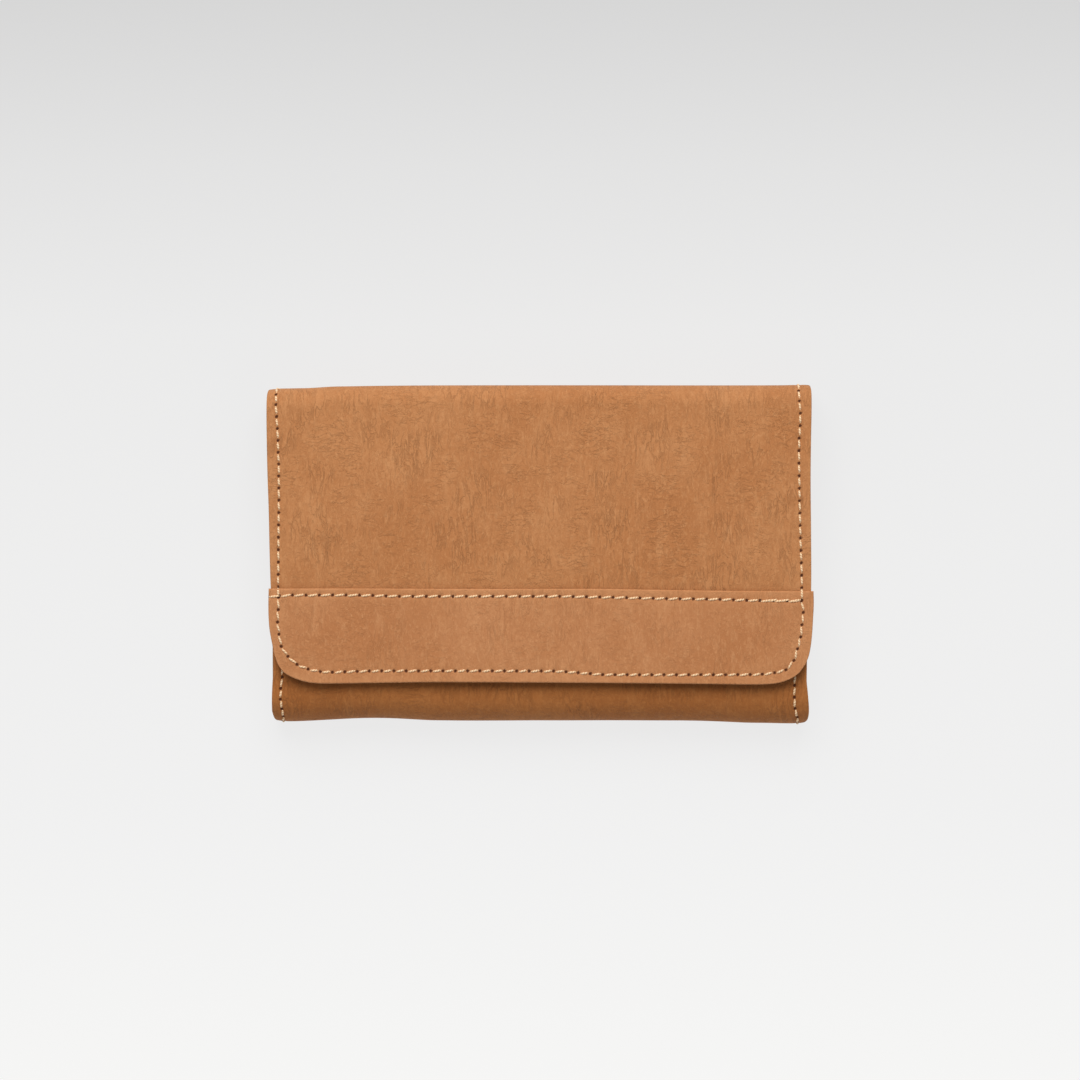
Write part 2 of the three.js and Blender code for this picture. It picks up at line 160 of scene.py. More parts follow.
# ---------------------------------------------------------------- sizes, in mm, as the CAD has them
HALF_LENGTH = 58.8
LEATHER, LINING, GAP = 1.4, 0.6, 0.1
FLAP_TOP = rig.box("flap_panel")[1][2] / MM
FRONT_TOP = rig.box("front_panel")[1][2] / MM
BAND_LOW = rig.box("closure_band")[0][2] / MM
BAND_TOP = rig.box("closure_band")[1][2] / MM
RT = 7.0
C1 = (HALF_LENGTH - RT, RT)
C2 = (HALF_LENGTH - RT, FLAP_TOP - RT)
RB = FRONT_TOP / 2
C3 = (-HALF_LENGTH + RB, RB)
MID_Z = FLAP_TOP / 2
FRONT_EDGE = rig.box("front_panel")[1][1] / MM
PURSE_Z = (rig.box("purse_rear_wall")[0][2] / MM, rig.box("purse_front_wall")[1][2] / MM)
PURSE_Y = (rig.box("purse_rear_wall")[0][1] / MM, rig.box("purse_rear_wall")[1][1] / MM)
PURSE_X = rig.box("purse_rear_wall")[1][0] / MM


def smooth(x, a, b):
    t = np.clip((np.asarray(x, float) - a) / (b - a), 0, 1)
    return t * t * (3 - 2 * t)


def table(x, rows):
    """A smooth curve through rows of (x, value), with rounded joints."""
    xs = np.array([r[0] for r in rows], float)
    ys = np.array([r[1] for r in rows], float)
    m = np.gradient(ys, xs)
    x = np.clip(np.asarray(x, float), xs[0], xs[-1])
    i = np.clip(np.searchsorted(xs, x) - 1, 0, len(xs) - 2)
    h = xs[i + 1] - xs[i]
    t = (x - xs[i]) / h
    # slopes are limited so that the curve doesn't overshoot
    s = (ys[i + 1] - ys[i]) / h
    m0 = np.where(m[i] * s <= 0, 0, np.sign(s) * np.minimum(abs(m[i]), 3 * abs(s)))
    m1 = np.where(m[i + 1] * s <= 0, 0, np.sign(s) * np.minimum(abs(m[i + 1]), 3 * abs(s)))
    return ((2 * t**3 - 3 * t**2 + 1) * ys[i] + (t**3 - 2 * t**2 + t) * h * m0
            + (-2 * t**3 + 3 * t**2) * ys[i + 1] + (t**3 - t**2) * h * m1)


def waves(x, y, scale, seed, octaves=2):
    """Smooth noise between -1 and 1 at points in mm."""
    x, y = np.broadcast_arrays(np.asarray(x, float), np.asarray(y, float))
    out = np.empty(x.size)
    for i, (a, b) in enumerate(zip(x.ravel(), y.ravel())):
        out[i] = noise.fractal(Vector((a / scale, b / scale, seed * 7.31)), 1.0, 2.0, octaves)
    return out.reshape(x.shape)


def warp(p):
    """The slight waviness of the top and bottom folds, seen from above."""
    x, y = p[..., 0], p[..., 1]
    top = table(x, [(-95, -1.7), (-91.9, -1.25), (-86.7, -1.1), (-79.7, -0.95), (-72.8, -0.5), (-65.8, -0.36), (-58.9, -0.24),
                    (-45, -0.1), (0, 0.0), (60, -0.05), (85, 0.0), (92, 0.15), (95, 0.0)])
    low = table(x, [(-94, 1.3), (-91.9, 0.85), (-89.8, 0.45), (-86.7, 0.38), (-79.7, 0.6), (-72.8, 0.95), (-65.8, 1.3), (-58.9, 1.45),
                    (-52, 1.35), (-45, 1.0), (-38, 0.6), (-20, 0.55), (0, 0.62), (50, 0.6), (59, 0.45), (66, 0.2), (73, -0.15),
                    (80, -0.25), (87, -0.35), (91, -0.3), (94, 0.4)])
    q = p.copy()
    q[..., 1] = y + top * smooth(y, 15, 56) + low * smooth(-y, 45.5, 58.6)
    return q


class Path:
    """The outside of a strip in the YZ plane, by the length along it, with its outward normal."""

    def __init__(self, start, turn, runs):
        # turn is +1 where the outside is on the right of the direction of travel, else -1
        self.turn, self.runs, self.length = turn, [], 0.0
        at = start
        for kind, *a in runs:
            if kind == "line":
                end, n = a[0], math.hypot(a[0][0] - at[0], a[0][1] - at[1])
                self.runs.append((self.length, n, kind, (at, end)))
                at = end
            else:
                c, r, a0, a1 = a
                n = abs(math.radians(a1 - a0)) * r
                self.runs.append((self.length, n, kind, (c, r, math.radians(a0), math.radians(a1))))
                at = (c[0] + r * math.cos(math.radians(a1)), c[1] + r * math.sin(math.radians(a1)))
            self.length += n

    def at(self, v):
        v = np.asarray(v, float)
        out = np.zeros(v.shape + (4,))
        for k, (v0, n, kind, a) in enumerate(self.runs):
            last = k == len(self.runs) - 1
            here = ((v >= v0) if k else np.ones(v.shape, bool)) & ((v < v0 + n) if not last else np.ones(v.shape, bool))
            if not here.any():
                continue
            t = (v[here] - v0) / n
            if kind == "line":
                (y0, z0), (y1, z1) = a
                ty, tz = (y1 - y0) / n, (z1 - z0) / n
                y, z = y0 + (y1 - y0) * t, z0 + (z1 - z0) * t
                ty, tz = np.full_like(t, ty), np.full_like(t, tz)
            else:
                c, r, a0, a1 = a
                ang = a0 + (a1 - a0) * t
                s = math.copysign(1, a1 - a0)
                y, z = c[0] + r * np.cos(ang), c[1] + r * np.sin(ang)
                ty, tz = -np.sin(ang) * s, np.cos(ang) * s
            out[here] = np.stack([y, z, tz * self.turn, -ty * self.turn], -1)
        return out


ARC_T = math.pi / 2 * RT
ARC_B = math.pi * RB
BACK = Path((C3[0], 0.0), 1, [("line", (C1[0], 0.0)), ("arc", C1, RT, -90, 0), ("line", (HALF_LENGTH, MID_Z))])
FLAP = Path((HALF_LENGTH, MID_Z), 1, [("line", (HALF_LENGTH, C2[1])), ("arc", C2, RT, 0, 90), ("line", (-45.3, FLAP_TOP))])
FRONT = Path((C3[0], 0.0), -1, [("arc", C3, RB, 270, 90), ("line", (FRONT_EDGE, FRONT_TOP))])
V_FLAT = (C2[1] * -1 + MID_Z) * -1 + ARC_T      # where the flap turns flat
S_BACK, S_FLAP, S_FRONT = -BACK.length, 0.0, -BACK.length   # each strip's place on the common length


def flap_v(y):
    return V_FLAT + (C2[0] - np.asarray(y, float))


# ---------------------------------------------------------------- sheets
def spread(a, b, step, fine=(), fine_step=0.5, ends=True):
    """Grid lines from a to b: coarse, fine within the given ranges, and close at the ends for the edge's rounding."""
    cuts = sorted({a, b, *[min(max(c, a), b) for r in fine for c in r]})
    out = [a]
    for lo, hi in zip(cuts[:-1], cuts[1:]):
        mid = (lo + hi) / 2
        s = fine_step if any(r[0] <= mid <= r[1] for r in fine) else step
        n = max(1, round((hi - lo) / s))
        out += [lo + (hi - lo) * i / n for i in range(1, n + 1)]
    if ends:
        out += [a + 0.12, a + 0.35, a + 0.8, b - 0.12, b - 0.35, b - 0.8]
    out = sorted(set(round(o, 5) for o in out))
    keep = [out[0]]
    for o in out[1:]:
        if o - keep[-1] > 0.1:
            keep.append(o)
    keep[-1] = out[-1]
    return np.array(keep)


def resample(points, t):
    """Points at shares t of the length of a smooth curve through the points, which doesn't overshoot where their spacing changes."""
    p = np.array(points, float)
    h = np.linalg.norm(np.diff(p, axis=0), axis=1)
    d = np.diff(p, axis=0) / h[:, None]
    m = np.vstack([d[:1], (d[:-1] * h[1:, None] + d[1:] * h[:-1, None]) / (h[:-1] + h[1:])[:, None], d[-1:]])
    fine = []
    for i in range(len(h)):
        for k in np.linspace(0, 1, 12, endpoint=False):
            fine.append((2 * k**3 - 3 * k**2 + 1) * p[i] + (k**3 - 2 * k**2 + k) * h[i] * m[i]
                        + (-2 * k**3 + 3 * k**2) * p[i + 1] + (k**3 - k**2) * h[i] * m[i + 1])
    fine.append(p[-1])
    fine = np.array(fine)
    s = np.concatenate([[0], np.cumsum(np.linalg.norm(np.diff(fine, axis=0), axis=1))])
    t = np.asarray(t) * s[-1]
    return np.stack([np.interp(t, s, fine[:, i]) for i in range(p.shape[1])], -1)


def coons(top, low, left, right, us, ws):
    """A grid between four edges: top and low run along u, left and right along w."""
    u, w = (us - us[0]) / (us[-1] - us[0]), (ws - ws[0]) / (ws[-1] - ws[0])
    t, b, l, r = resample(top, u), resample(low, u), resample(left, w), resample(right, w)
    U, W = u[None, :, None], w[:, None, None]
    return ((1 - W) * t[None] + W * b[None] + (1 - U) * l[:, None] + U * r[:, None]
            - (1 - U) * (1 - W) * t[0] - U * (1 - W) * t[-1] - (1 - U) * W * b[0] - U * W * b[-1])


def add_mesh(name, verts, faces, mats, face_mats=None, attrs=None, smooth_angle=50):
    me = bpy.data.meshes.new(name)
    me.from_pydata([tuple(v) for v in verts], [], [tuple(int(i) for i in f) for f in faces])
    for m in mats:
        me.materials.append(m)
    if face_mats is not None:
        me.polygons.foreach_set("material_index", np.asarray(face_mats, np.int32))
    me.polygons.foreach_set("use_smooth", np.ones(len(me.polygons), bool))
    for key, (kind, data) in (attrs or {}).items():
        a = me.attributes.new(key, kind, "POINT")
        a.data.foreach_set("vector" if kind == "FLOAT_VECTOR" else "value", np.asarray(data, np.float32).ravel())
    me.validate()
    me.update()
    me.set_sharp_from_angle(angle=math.radians(smooth_angle))
    ob = bpy.data.objects.new(name, me)
    bpy.context.scene.collection.objects.link(ob)
    return ob


def edge_distance(g, joined):
    """Each grid point's distance in mm from the nearest cut edge. joined names edges that carry on into the next sheet."""
    d = np.full(g.shape[:2], 1e9)
    for side, e in (("start", g[0][None]), ("end", g[-1][None]), ("left", g[:, 0][:, None]), ("right", g[:, -1][:, None])):
        if side not in joined:
            d = np.minimum(d, np.linalg.norm(g - e, axis=-1))
    return d


def near_holes(g, holes, reach=3.0):
    """Each grid point's distance to the nearest hole, and to the nearest seam line, in flat mm."""
    flat = g.reshape(-1, 2)
    hole, line = np.full(len(flat), 99.0), np.full(len(flat), 99.0)
    for run in holes:
        run = np.asarray(run, float)
        lo, hi = run.min(0) - reach, run.max(0) + reach
        near = np.flatnonzero(((flat > lo) & (flat < hi)).all(1))
        if not len(near):
            continue
        q = flat[near]
        for i in range(0, len(q), 4000):
            part = q[i:i + 4000]
            d = np.linalg.norm(part[:, None] - run[None], axis=-1)
            hole[near[i:i + 4000]] = np.minimum(hole[near[i:i + 4000]], d.min(1))
            a, b = run[:-1], run[1:]
            ab = b - a
            t = np.clip(((part[:, None] - a[None]) * ab[None]).sum(-1) / (ab**2).sum(-1)[None], 0, 1)
            dl = np.linalg.norm(part[:, None] - (a[None] + t[..., None] * ab[None]), axis=-1).min(1)
            line[near[i:i + 4000]] = np.minimum(line[near[i:i + 4000]], dl)
    return hole.reshape(g.shape[:2]), line.reshape(g.shape[:2])


class Sheet:
    """A sheet of leather of one thickness, on a path, with its outline as a grid of flat (x, v) points."""

    def __init__(self, path, grid, outer, thick, lift=None, s0=0.0, holes=(), joined=(), channel=0.12, flow=1, shape=None, tone=None, rim=0.7):
        self.path, self.grid, self.outer, self.thick, self.lift, self.s0 = path, grid, outer, thick, lift, s0
        self.holes, self.joined, self.channel, self.flow = holes, joined, channel, flow
        self.shape, self.tone, self.rim = shape, tone, rim

    def point(self, x, v, up, dent=0.0):
        """A point of the sheet's outer face, raised by up along the normal, in mm."""
        x, v = np.broadcast_arrays(np.asarray(x, float), np.asarray(v, float))
        p = self.path.at(v)
        h = self.outer + up - dent + (self.lift(x, v) if self.lift else 0.0)
        p = warp(np.stack([x, p[..., 0] + p[..., 2] * h, p[..., 1] + p[..., 3] * h], -1))
        return self.shape(p) if self.shape else p

    def build(self, name, mats, under_step=1):
        g = self.grid
        x, v = g[..., 0], g[..., 1]
        nv, nu = x.shape
        d = edge_distance(g, self.joined)
        r = min(0.42 * self.thick, 0.5)
        fall = np.where(d < r, r - np.sqrt(np.maximum(r * r - (r - d) ** 2, 0)), 0.0)
        hole = np.zeros(x.shape)
        dent = fall.copy()
        if len(self.holes):
            dh, dl = near_holes(g, self.holes)
            hole = np.exp(-(dh / 0.58) ** 4)
            dent += 0.38 * np.exp(-(dh / 0.5) ** 2) + self.channel * np.exp(-(dl / 0.9) ** 2)
        top = self.point(x, v, 0.0, dent)
        low = self.point(x, v, -self.thick, -0.6 * fall)
        verts = np.concatenate([top.reshape(-1, 3), low.reshape(-1, 3)]) * MM
        n = nv * nu
        idx = np.arange(n).reshape(nv, nu)
        a, b, c, e = idx[:-1, :-1].ravel(), idx[:-1, 1:].ravel(), idx[1:, 1:].ravel(), idx[1:, :-1].ravel()
        f1 = np.stack([a, b, c, e], 1)
        f2 = np.stack([a + n, e + n, c + n, b + n], 1)
        faces = [f1, f2]
        mat = [np.zeros(len(f1), int), np.full(len(f2), 2)]
        for line, flip in ((idx[0], 1), (idx[-1], 0), (idx[:, 0], 0), (idx[:, -1], 1)):
            p, q = line[:-1], line[1:]
            f = np.stack([p, p + n, q + n, q], 1)
            faces.append(f[:, ::-1] if flip == 0 else f)
            mat.append(np.full(len(f), 1))
        faces = np.concatenate(faces)
        # the path may run either way, so the faces are turned to point out
        p0, p1, p2 = verts[f1[len(f1) // 2][:3]]
        normal = np.cross(p1 - p0, p2 - p0)
        pa = self.path.at(v.ravel()[f1[len(f1) // 2][0]])
        if normal[1] * pa[2] + normal[2] * pa[3] < 0:
            faces = faces[:, ::-1]
        s = self.s0 + self.flow * v
        lc = np.stack([x, s, np.zeros_like(x)], -1)
        lc2 = lc.copy()
        lc2[..., 2] = 37.0
        attrs = {"lc": ("FLOAT_VECTOR", np.concatenate([lc.reshape(-1, 3), lc2.reshape(-1, 3)]) * MM),
                 "hole": ("FLOAT", np.concatenate([hole.ravel(), np.zeros(n)])),
                 # per-point painted highlight, fading with distance from the cut edges
                 "rim": ("FLOAT", np.concatenate([np.exp(-d / self.rim).ravel(), np.exp(-d / 0.7).ravel()]))}
        # per-point painted shade on the outer face, read by the material
        if self.tone:
            attrs["tone"] = ("FLOAT", np.concatenate([self.tone(x, v).ravel(), np.zeros(n)]))
        return add_mesh(name, verts, faces, mats, np.concatenate(mat), attrs, 60)


# ---------------------------------------------------------------- materials
def srgb(r, g, b):
    return tuple(((c / 255 + 0.055) / 1.055) ** 2.4 if c > 10 else c / 255 / 12.92 for c in (r, g, b)) + (1.0,)


class Nodes:
    def __init__(self, name):
        self.m = bpy.data.materials.new(name)
        self.m.use_nodes = True
        self.t = self.m.node_tree
        self.t.nodes.clear()
        self.out = self.t.nodes.new("ShaderNodeOutputMaterial")

    def n(self, kind, **values):
        node = self.t.nodes.new("ShaderNode" + kind)
        for k, v in values.items():
            if k[0].isupper():
                continue
            setattr(node, k, v)
        for k, v in values.items():
            if k[0].isupper():
                self.set(node.inputs[k.replace("_", " ")], v)
        return node

    def set(self, socket, v):
        if isinstance(v, bpy.types.NodeSocket):
            self.t.links.new(v, socket)
        else:
            socket.default_value = v

    def attr(self, name):
        return self.n("Attribute", attribute_name=name)

    def map(self, vector, scale, at=(0, 0, 0), turn=0.0):
        return self.n("Mapping", Vector=vector, Scale=scale, Location=at, Rotation=(0, 0, turn)).outputs[0]

    def noise(self, vector, scale=1.0, detail=3.0, rough=0.55, warp=0.0):
        return self.n("TexNoise", Vector=vector, Scale=scale, Detail=detail, Roughness=rough, Distortion=warp).outputs[0]

    def math(self, op, a, b=0.0, clamp=False):
        node = self.t.nodes.new("ShaderNodeMath")
        node.operation, node.use_clamp = op, clamp
        self.set(node.inputs[0], a)
        self.set(node.inputs[1], b)
        return node.outputs[0]

    def ramp(self, x, lo, hi, a=0.0, b=1.0):
        node = self.t.nodes.new("ShaderNodeMapRange")
        node.interpolation_type = "SMOOTHSTEP"
        for i, v in enumerate((x, lo, hi, a, b)):
            self.set(node.inputs[i], v)
        return node.outputs[0]

    def mix(self, f, a, b, mode="MIX"):
        node = self.t.nodes.new("ShaderNodeMix")
        node.data_type, node.blend_type = "RGBA", mode
        self.set(node.inputs[0], f)
        self.set(node.inputs[6], a)
        self.set(node.inputs[7], b)
        return node.outputs[2]

    def bump(self, height, strength, distance, normal=None):
        node = self.n("Bump", Strength=strength, Distance=distance, Height=height)
        if normal is not None:
            self.set(node.inputs["Normal"], normal)
        return node.outputs[0]

    def finish(self, **values):
        b = self.t.nodes.new("ShaderNodeBsdfPrincipled")
        for k, v in values.items():
            self.set(b.inputs[k.replace("_", " ")], v)
        self.t.links.new(b.outputs[0], self.out.inputs[0])
        return self.m


def leather(name, base, dark, light, grain=1.0, crease=1.0, sheen=0.12, rough=0.84):
    """Nubuck: a cloudy colour, fine streaks and creases across the hide, a short nap, painted shade in the creases and
    the darkened stitch holes, painted shade where an attribute asks for it, and a painted highlight along cut edges.
    """
    k = Nodes(name)
    lc = k.attr("lc").outputs["Vector"]
    clouds = k.noise(lc, 24.0, 3.0, 0.55, 0.3)
    blotch = k.noise(k.map(lc, (150.0, 70.0, 90.0), (3.1, 0.7, 0)), 1.0, 3.0, 0.6, 0.5)
    streak = k.noise(k.map(lc, (560.0, 205.0, 300.0), (2.2, 4.0, 0), 0.05), 1.0, 5.0, 0.66, 1.3)
    nap = k.noise(k.map(lc, (1150.0, 860.0, 800.0), (0.3, 5.0, 0)), 1.0, 4.0, 0.65, 0.8)
    fine = k.noise(lc, 3000.0, 2.0, 0.6)
    # creases: the thin lines where a stretched noise crosses its middle
    c1 = k.noise(k.map(lc, (430.0, 110.0, 100.0), (1.7, 2.2, 0), 0.06), 1.0, 4.0, 0.6, 0.9)
    c2 = k.noise(k.map(lc, (260.0, 560.0, 100.0), (7.7, 1.2, 0), 0.12), 1.0, 4.0, 0.6, 0.9)
    line1 = k.ramp(k.math("ABSOLUTE", k.math("SUBTRACT", c1, 0.5)), 0.0, 0.055, 1.0, 0.0)
    line2 = k.ramp(k.math("ABSOLUTE", k.math("SUBTRACT", c2, 0.5)), 0.0, 0.040, 1.0, 0.0)
    where = k.ramp(k.noise(lc, 55.0, 2.0), 0.40, 0.62)
    lines = k.math("MAXIMUM", k.math("MULTIPLY", line1, where), k.math("MULTIPLY", line2, k.math("SUBTRACT", 0.62, where, True)))
    colour = k.mix(k.ramp(clouds, 0.30, 0.70), dark, base)
    colour = k.mix(k.math("MULTIPLY", k.ramp(blotch, 0.48, 0.74), 0.42), colour, light)
    colour = k.mix(k.math("MULTIPLY", k.ramp(streak, 0.5, 0.74), 0.62), colour, light)
    colour = k.mix(k.math("MULTIPLY", k.ramp(streak, 0.5, 0.28), 0.66), colour, dark)
    colour = k.mix(k.math("MULTIPLY", k.ramp(nap, 0.5, 0.70), 0.55), colour, light)
    colour = k.mix(k.math("MULTIPLY", k.ramp(nap, 0.5, 0.30), 0.60), colour, dark)
    shade_colour = tuple(c * 0.72 for c in dark[:3]) + (1.0,)
    # painted shade: the crease lines are darkened in colour on top of their bump
    colour = k.mix(k.math("MULTIPLY", lines, 0.33 * crease), colour, shade_colour)
    # painted shade from the per-point attribute: along the band's upper edge and over the top fold
    colour = k.mix(k.math("MULTIPLY", k.attr("tone").outputs["Fac"], 0.34), colour, shade_colour)
    # painted highlight: the colour lightens towards the cut edges
    colour = k.mix(k.math("MULTIPLY", k.attr("rim").outputs["Fac"], 0.22), colour, tuple(min(1, c * 1.18) for c in light[:3]) + (1.0,))
    # painted shade: the stitch holes darkened to stand in for their depth
    hole = k.attr("hole").outputs["Fac"]
    colour = k.mix(k.ramp(hole, 0.14, 0.70), colour, srgb(80, 38, 12))
    height = k.math("ADD", k.math("MULTIPLY", nap, 0.45 * grain), k.math("MULTIPLY", fine, 0.16 * grain))
    height = k.math("SUBTRACT", height, k.math("MULTIPLY", lines, 0.42 * crease))
    height = k.math("ADD", height, k.math("MULTIPLY", k.math("ADD", streak, blotch), 0.55))
    roughness = k.ramp(nap, 0.3, 0.7, rough - 0.05, rough + 0.06)
    return k.finish(Base_Color=colour, Roughness=roughness, Sheen_Weight=sheen, Sheen_Roughness=0.45,
                    Sheen_Tint=(0.95, 0.72, 0.5, 1.0), Specular_IOR_Level=0.3, Normal=k.bump(height, 0.8, 0.00036))


def cut_edge(name, base, dark):
    """The fibrous cut side of the leather."""
    k = Nodes(name)
    p = k.n("TexCoord").outputs["Object"]
    fibre = k.noise(k.map(p, (900.0, 900.0, 3200.0)), 1.0, 4.0, 0.65, 0.3)
    patch = k.noise(p, 160.0, 3.0)
    colour = k.mix(k.ramp(fibre, 0.35, 0.65), dark, base)
    colour = k.mix(k.math("MULTIPLY", k.ramp(patch, 0.4, 0.7), 0.4), colour, dark)
    return k.finish(Base_Color=colour, Roughness=k.ramp(fibre, 0.3, 0.7, 0.72, 0.92), Specular_IOR_Level=0.25,
                    Normal=k.bump(fibre, 0.6, 0.0002))


def woven(name, base, dark, pitch=0.00055):
    k = Nodes(name)
    p = k.n("TexCoord").outputs["Object"]
    s = 2 * math.pi / pitch
    w1 = k.n("TexWave", wave_type="BANDS", bands_direction="X", Vector=p, Scale=s / 20, Distortion=0.4, Detail=1.0).outputs[1]
    w2 = k.n("TexWave", wave_type="BANDS", bands_direction="DIAGONAL", Vector=p, Scale=s / 20, Distortion=0.4, Detail=1.0).outputs[1]
    h = k.math("MULTIPLY", w1, w2)
    fuzz = k.noise(p, 1800.0, 2.0)
    # painted shade: darker where the weave dips, following the bump
    colour = k.mix(k.ramp(h, 0.1, 0.7), dark, base)
    colour = k.mix(k.math("MULTIPLY", fuzz, 0.25), colour, base)
    return k.finish(Base_Color=colour, Roughness=k.ramp(h, 0.0, 1.0, 0.95, 0.8), Sheen_Weight=0.3, Sheen_Roughness=0.5,
                    Normal=k.bump(h, 0.5, 0.00015))


def metal(name, base, dark, rough=0.3):
    k = Nodes(name)
    p = k.n("TexCoord").outputs["Object"]
    wear = k.noise(p, 420.0, 4.0, 0.6)
    brush = k.noise(k.map(p, (300.0, 5200.0, 5200.0)), 1.0, 2.0)
    colour = k.mix(k.ramp(wear, 0.36, 0.66), dark, base)
    return k.finish(Base_Color=colour, Metallic=1.0, Roughness=k.ramp(k.math("ADD", k.math("MULTIPLY", brush, 0.5), k.math("MULTIPLY", wear, 0.5)), 0.3, 0.7, rough - 0.08, rough + 0.14),
                    Normal=k.bump(brush, 0.12, 0.00005))


def thread_material(name, base, dark):
    """Two-ply twisted thread: slanting strands by the length and the turn round the stitch."""
    k = Nodes(name)
    t = k.n("SeparateXYZ", Vector=k.attr("strand").outputs["Vector"])
    along, around = t.outputs[0], t.outputs[1]
    twist = k.math("SINE", k.math("ADD", k.math("MULTIPLY", along, 2 * math.pi / 0.95), k.math("MULTIPLY", around, 2 * math.pi)))
    fuzz = k.noise(k.n("TexCoord").outputs["Object"], 2600.0, 3.0)
    # painted shade: the grooves between the twisted strands are darkened in colour, following the bump
    shade = k.ramp(twist, -1.0, 0.1)
    colour = k.mix(shade, dark, base)
    colour = k.mix(k.math("MULTIPLY", k.ramp(fuzz, 0.5, 0.75), 0.3), colour, dark)
    return k.finish(Base_Color=colour, Roughness=0.72, Sheen_Weight=0.2, Sheen_Roughness=0.4, Specular_IOR_Level=0.35,
                    Normal=k.bump(k.math("ADD", shade, k.math("MULTIPLY", fuzz, 0.3)), 0.6, 0.00012))


M_SHELL = leather("shell_nubuck", srgb(190, 130, 82), srgb(178, 116, 68), srgb(203, 145, 96))
# painted shade: the front panel's leather is a darker, more saturated copy of the shell's, for the shade under the
# flap's lip
M_FRONT_SHADED = leather("front_nubuck", srgb(173, 109, 55), srgb(160, 96, 44), srgb(184, 121, 66))
M_BAND = leather("band_nubuck", srgb(190, 130, 85), srgb(180, 118, 72), srgb(205, 147, 100), crease=0.6)
M_UNDER = leather("flesh_side", srgb(176, 120, 76), srgb(160, 102, 60), srgb(190, 136, 92), grain=1.4, crease=0.3, sheen=0.2, rough=0.9)
M_LINING = leather("lining_suede", srgb(168, 112, 70), srgb(150, 94, 54), srgb(182, 128, 86), grain=1.2, crease=0.4, sheen=0.22, rough=0.88)
M_CARD = leather("card_leather", srgb(182, 124, 80), srgb(166, 106, 62), srgb(196, 140, 96), grain=0.8, crease=0.6, sheen=0.12)
M_EDGE = cut_edge("cut_edge", srgb(196, 142, 98), srgb(132, 82, 44))
M_EDGE_DARK = cut_edge("lining_edge", srgb(160, 108, 68), srgb(104, 64, 36))
M_THREAD = thread_material("cream_thread", srgb(250, 218, 176), srgb(214, 164, 116))
M_TAPE = woven("zip_tape_weave", srgb(112, 74, 46), srgb(66, 40, 22))
M_BRASS = metal("antique_brass", srgb(196, 156, 92), srgb(140, 102, 52))
M_STEEL = metal("snap_steel", srgb(206, 186, 146), srgb(184, 162, 120), 0.34)


# ---------------------------------------------------------------- outlines and seams, in flat mm
def curve_v(y):
    """Length along the flap's path for a height in the plan view, round the top fold too."""
    y = float(y)
    return V_FLAT + (C2[0] - y) if y <= C2[0] else V_FLAT - RT * math.asin(min((y - C2[0]) / RT, 1.0))


def evenly(points, pitch, start=0.0):
    """Hole positions along a polyline, as near to pitch as makes a whole number."""
    p = np.array(points, float)
    s = np.concatenate([[0], np.cumsum(np.linalg.norm(np.diff(p, axis=0), axis=1))])
    n = max(1, round((s[-1] - start) / pitch))
    t = np.linspace(start, s[-1], n + 1)
    return np.stack([np.interp(t, s, p[:, 0]), np.interp(t, s, p[:, 1])], 1)


def plan(rows):
    return [(x, curve_v(y)) for x, y in rows]


BAND_LEFT = plan([(-94.1, -12.0), (-94.2, -17), (-94.1, -22.5), (-93.75, -26.5), (-93.2, -29.6), (-92.6, -32.6), (-92.0, -35.2), (-91.2, -37.6), (-90.1, -39.6)])
BAND_FOOT = plan([(-90.1, -39.6), (-88.7, -41.2), (-86.7, -42.5), (-84.0, -43.6), (-80.9, -44.5), (-77.0, -44.95), (-70, -45.0), (-60, -44.85), (-41.5, -44.6), (0, -44.7),
                 (42, -45.0), (60, -45.2), (72, -45.35), (78, -45.3), (82.2, -44.95), (85.4, -44.1), (88.2, -42.8), (90.3, -41.2)])
BAND_RIGHT = plan([(95.2, -12.9), (95.3, -17), (95.05, -22.5), (94.7, -28), (94.2, -32.3), (93.5, -35.6), (92.3, -38.4), (90.3, -41.2)])
BAND_HEAD = plan([(-94.1, -12.0), (-80, -11.95), (-60, -11.95), (-30, -12.1), (0, -12.1), (20, -12.1), (40, -12.4), (60, -12.7), (80, -12.85), (95.2, -12.9)])

FLAP_START = [(-94.2, 0), (93.9, 0)]
FLAP_LEFT = [(-94.2, 0), (-94.45, 5.2), (-94.8, 10), (-94.9, 16), (-94.8, 28), (-94.5, 42), (-94.15, 52), (-93.8, 68), (-93.45, 79), (-92.9, 90), (-92.1, 98), (-91.1, 103.6), (-89.6, 107.0)]
FLAP_LOW = [(-89.6, 107.0), (-86.2, 110.2), (-81.2, 111.9), (-76, 112.4), (-41.5, 112.1), (0, 112.2), (42, 112.5), (76, 112.8), (82, 112.4), (87.4, 110.7), (89.8, 108.6)]
FLAP_RIGHT = [(93.9, 0), (94.2, 5.2), (94.55, 10), (94.6, 16), (94.4, 28), (94.25, 42), (94.4, 60), (94.45, 79), (94.2, 90), (93.7, 98), (92.5, 104), (89.8, 108.6)]


def side_left_front(v):
    return table(v, [(0, -93.5), (8, -93.2), (13, -92.6), (16.3, -92.2), (20, -92.7), (24.5, -93.2), (32.7, -93.1), (37, -92.9), (43, -92.5), (51, -92.8), (70, -93.3), (119, -93.4)])


def side_right_front(v):
    return table(v, [(0, 93.5), (8, 93.4), (13, 93.1), (16.3, 92.9), (20, 93.6), (24.5, 93.9), (32.7, 93.4), (37, 93.0), (43, 93.1), (51, 93.3), (70, 93.5), (119, 93.4)])


def side_back(v):
    return table(v, [(0, 93.5), (20, 93.6), (60, 93.5), (90, 93.8), (100, 94.3), (106, 94.2), (111, 94.1), (116.4, 94.05)])


def straight_grid(left, right, us, vs):
    """A grid whose lines run from left(v) to right(v)."""
    u = (us - us[0]) / (us[-1] - us[0])
    l, r = left(vs), right(vs)
    x = l[:, None] + (r - l)[:, None] * u[None]
    return np.stack([x, np.repeat(vs[:, None], len(us), 1)], -1)


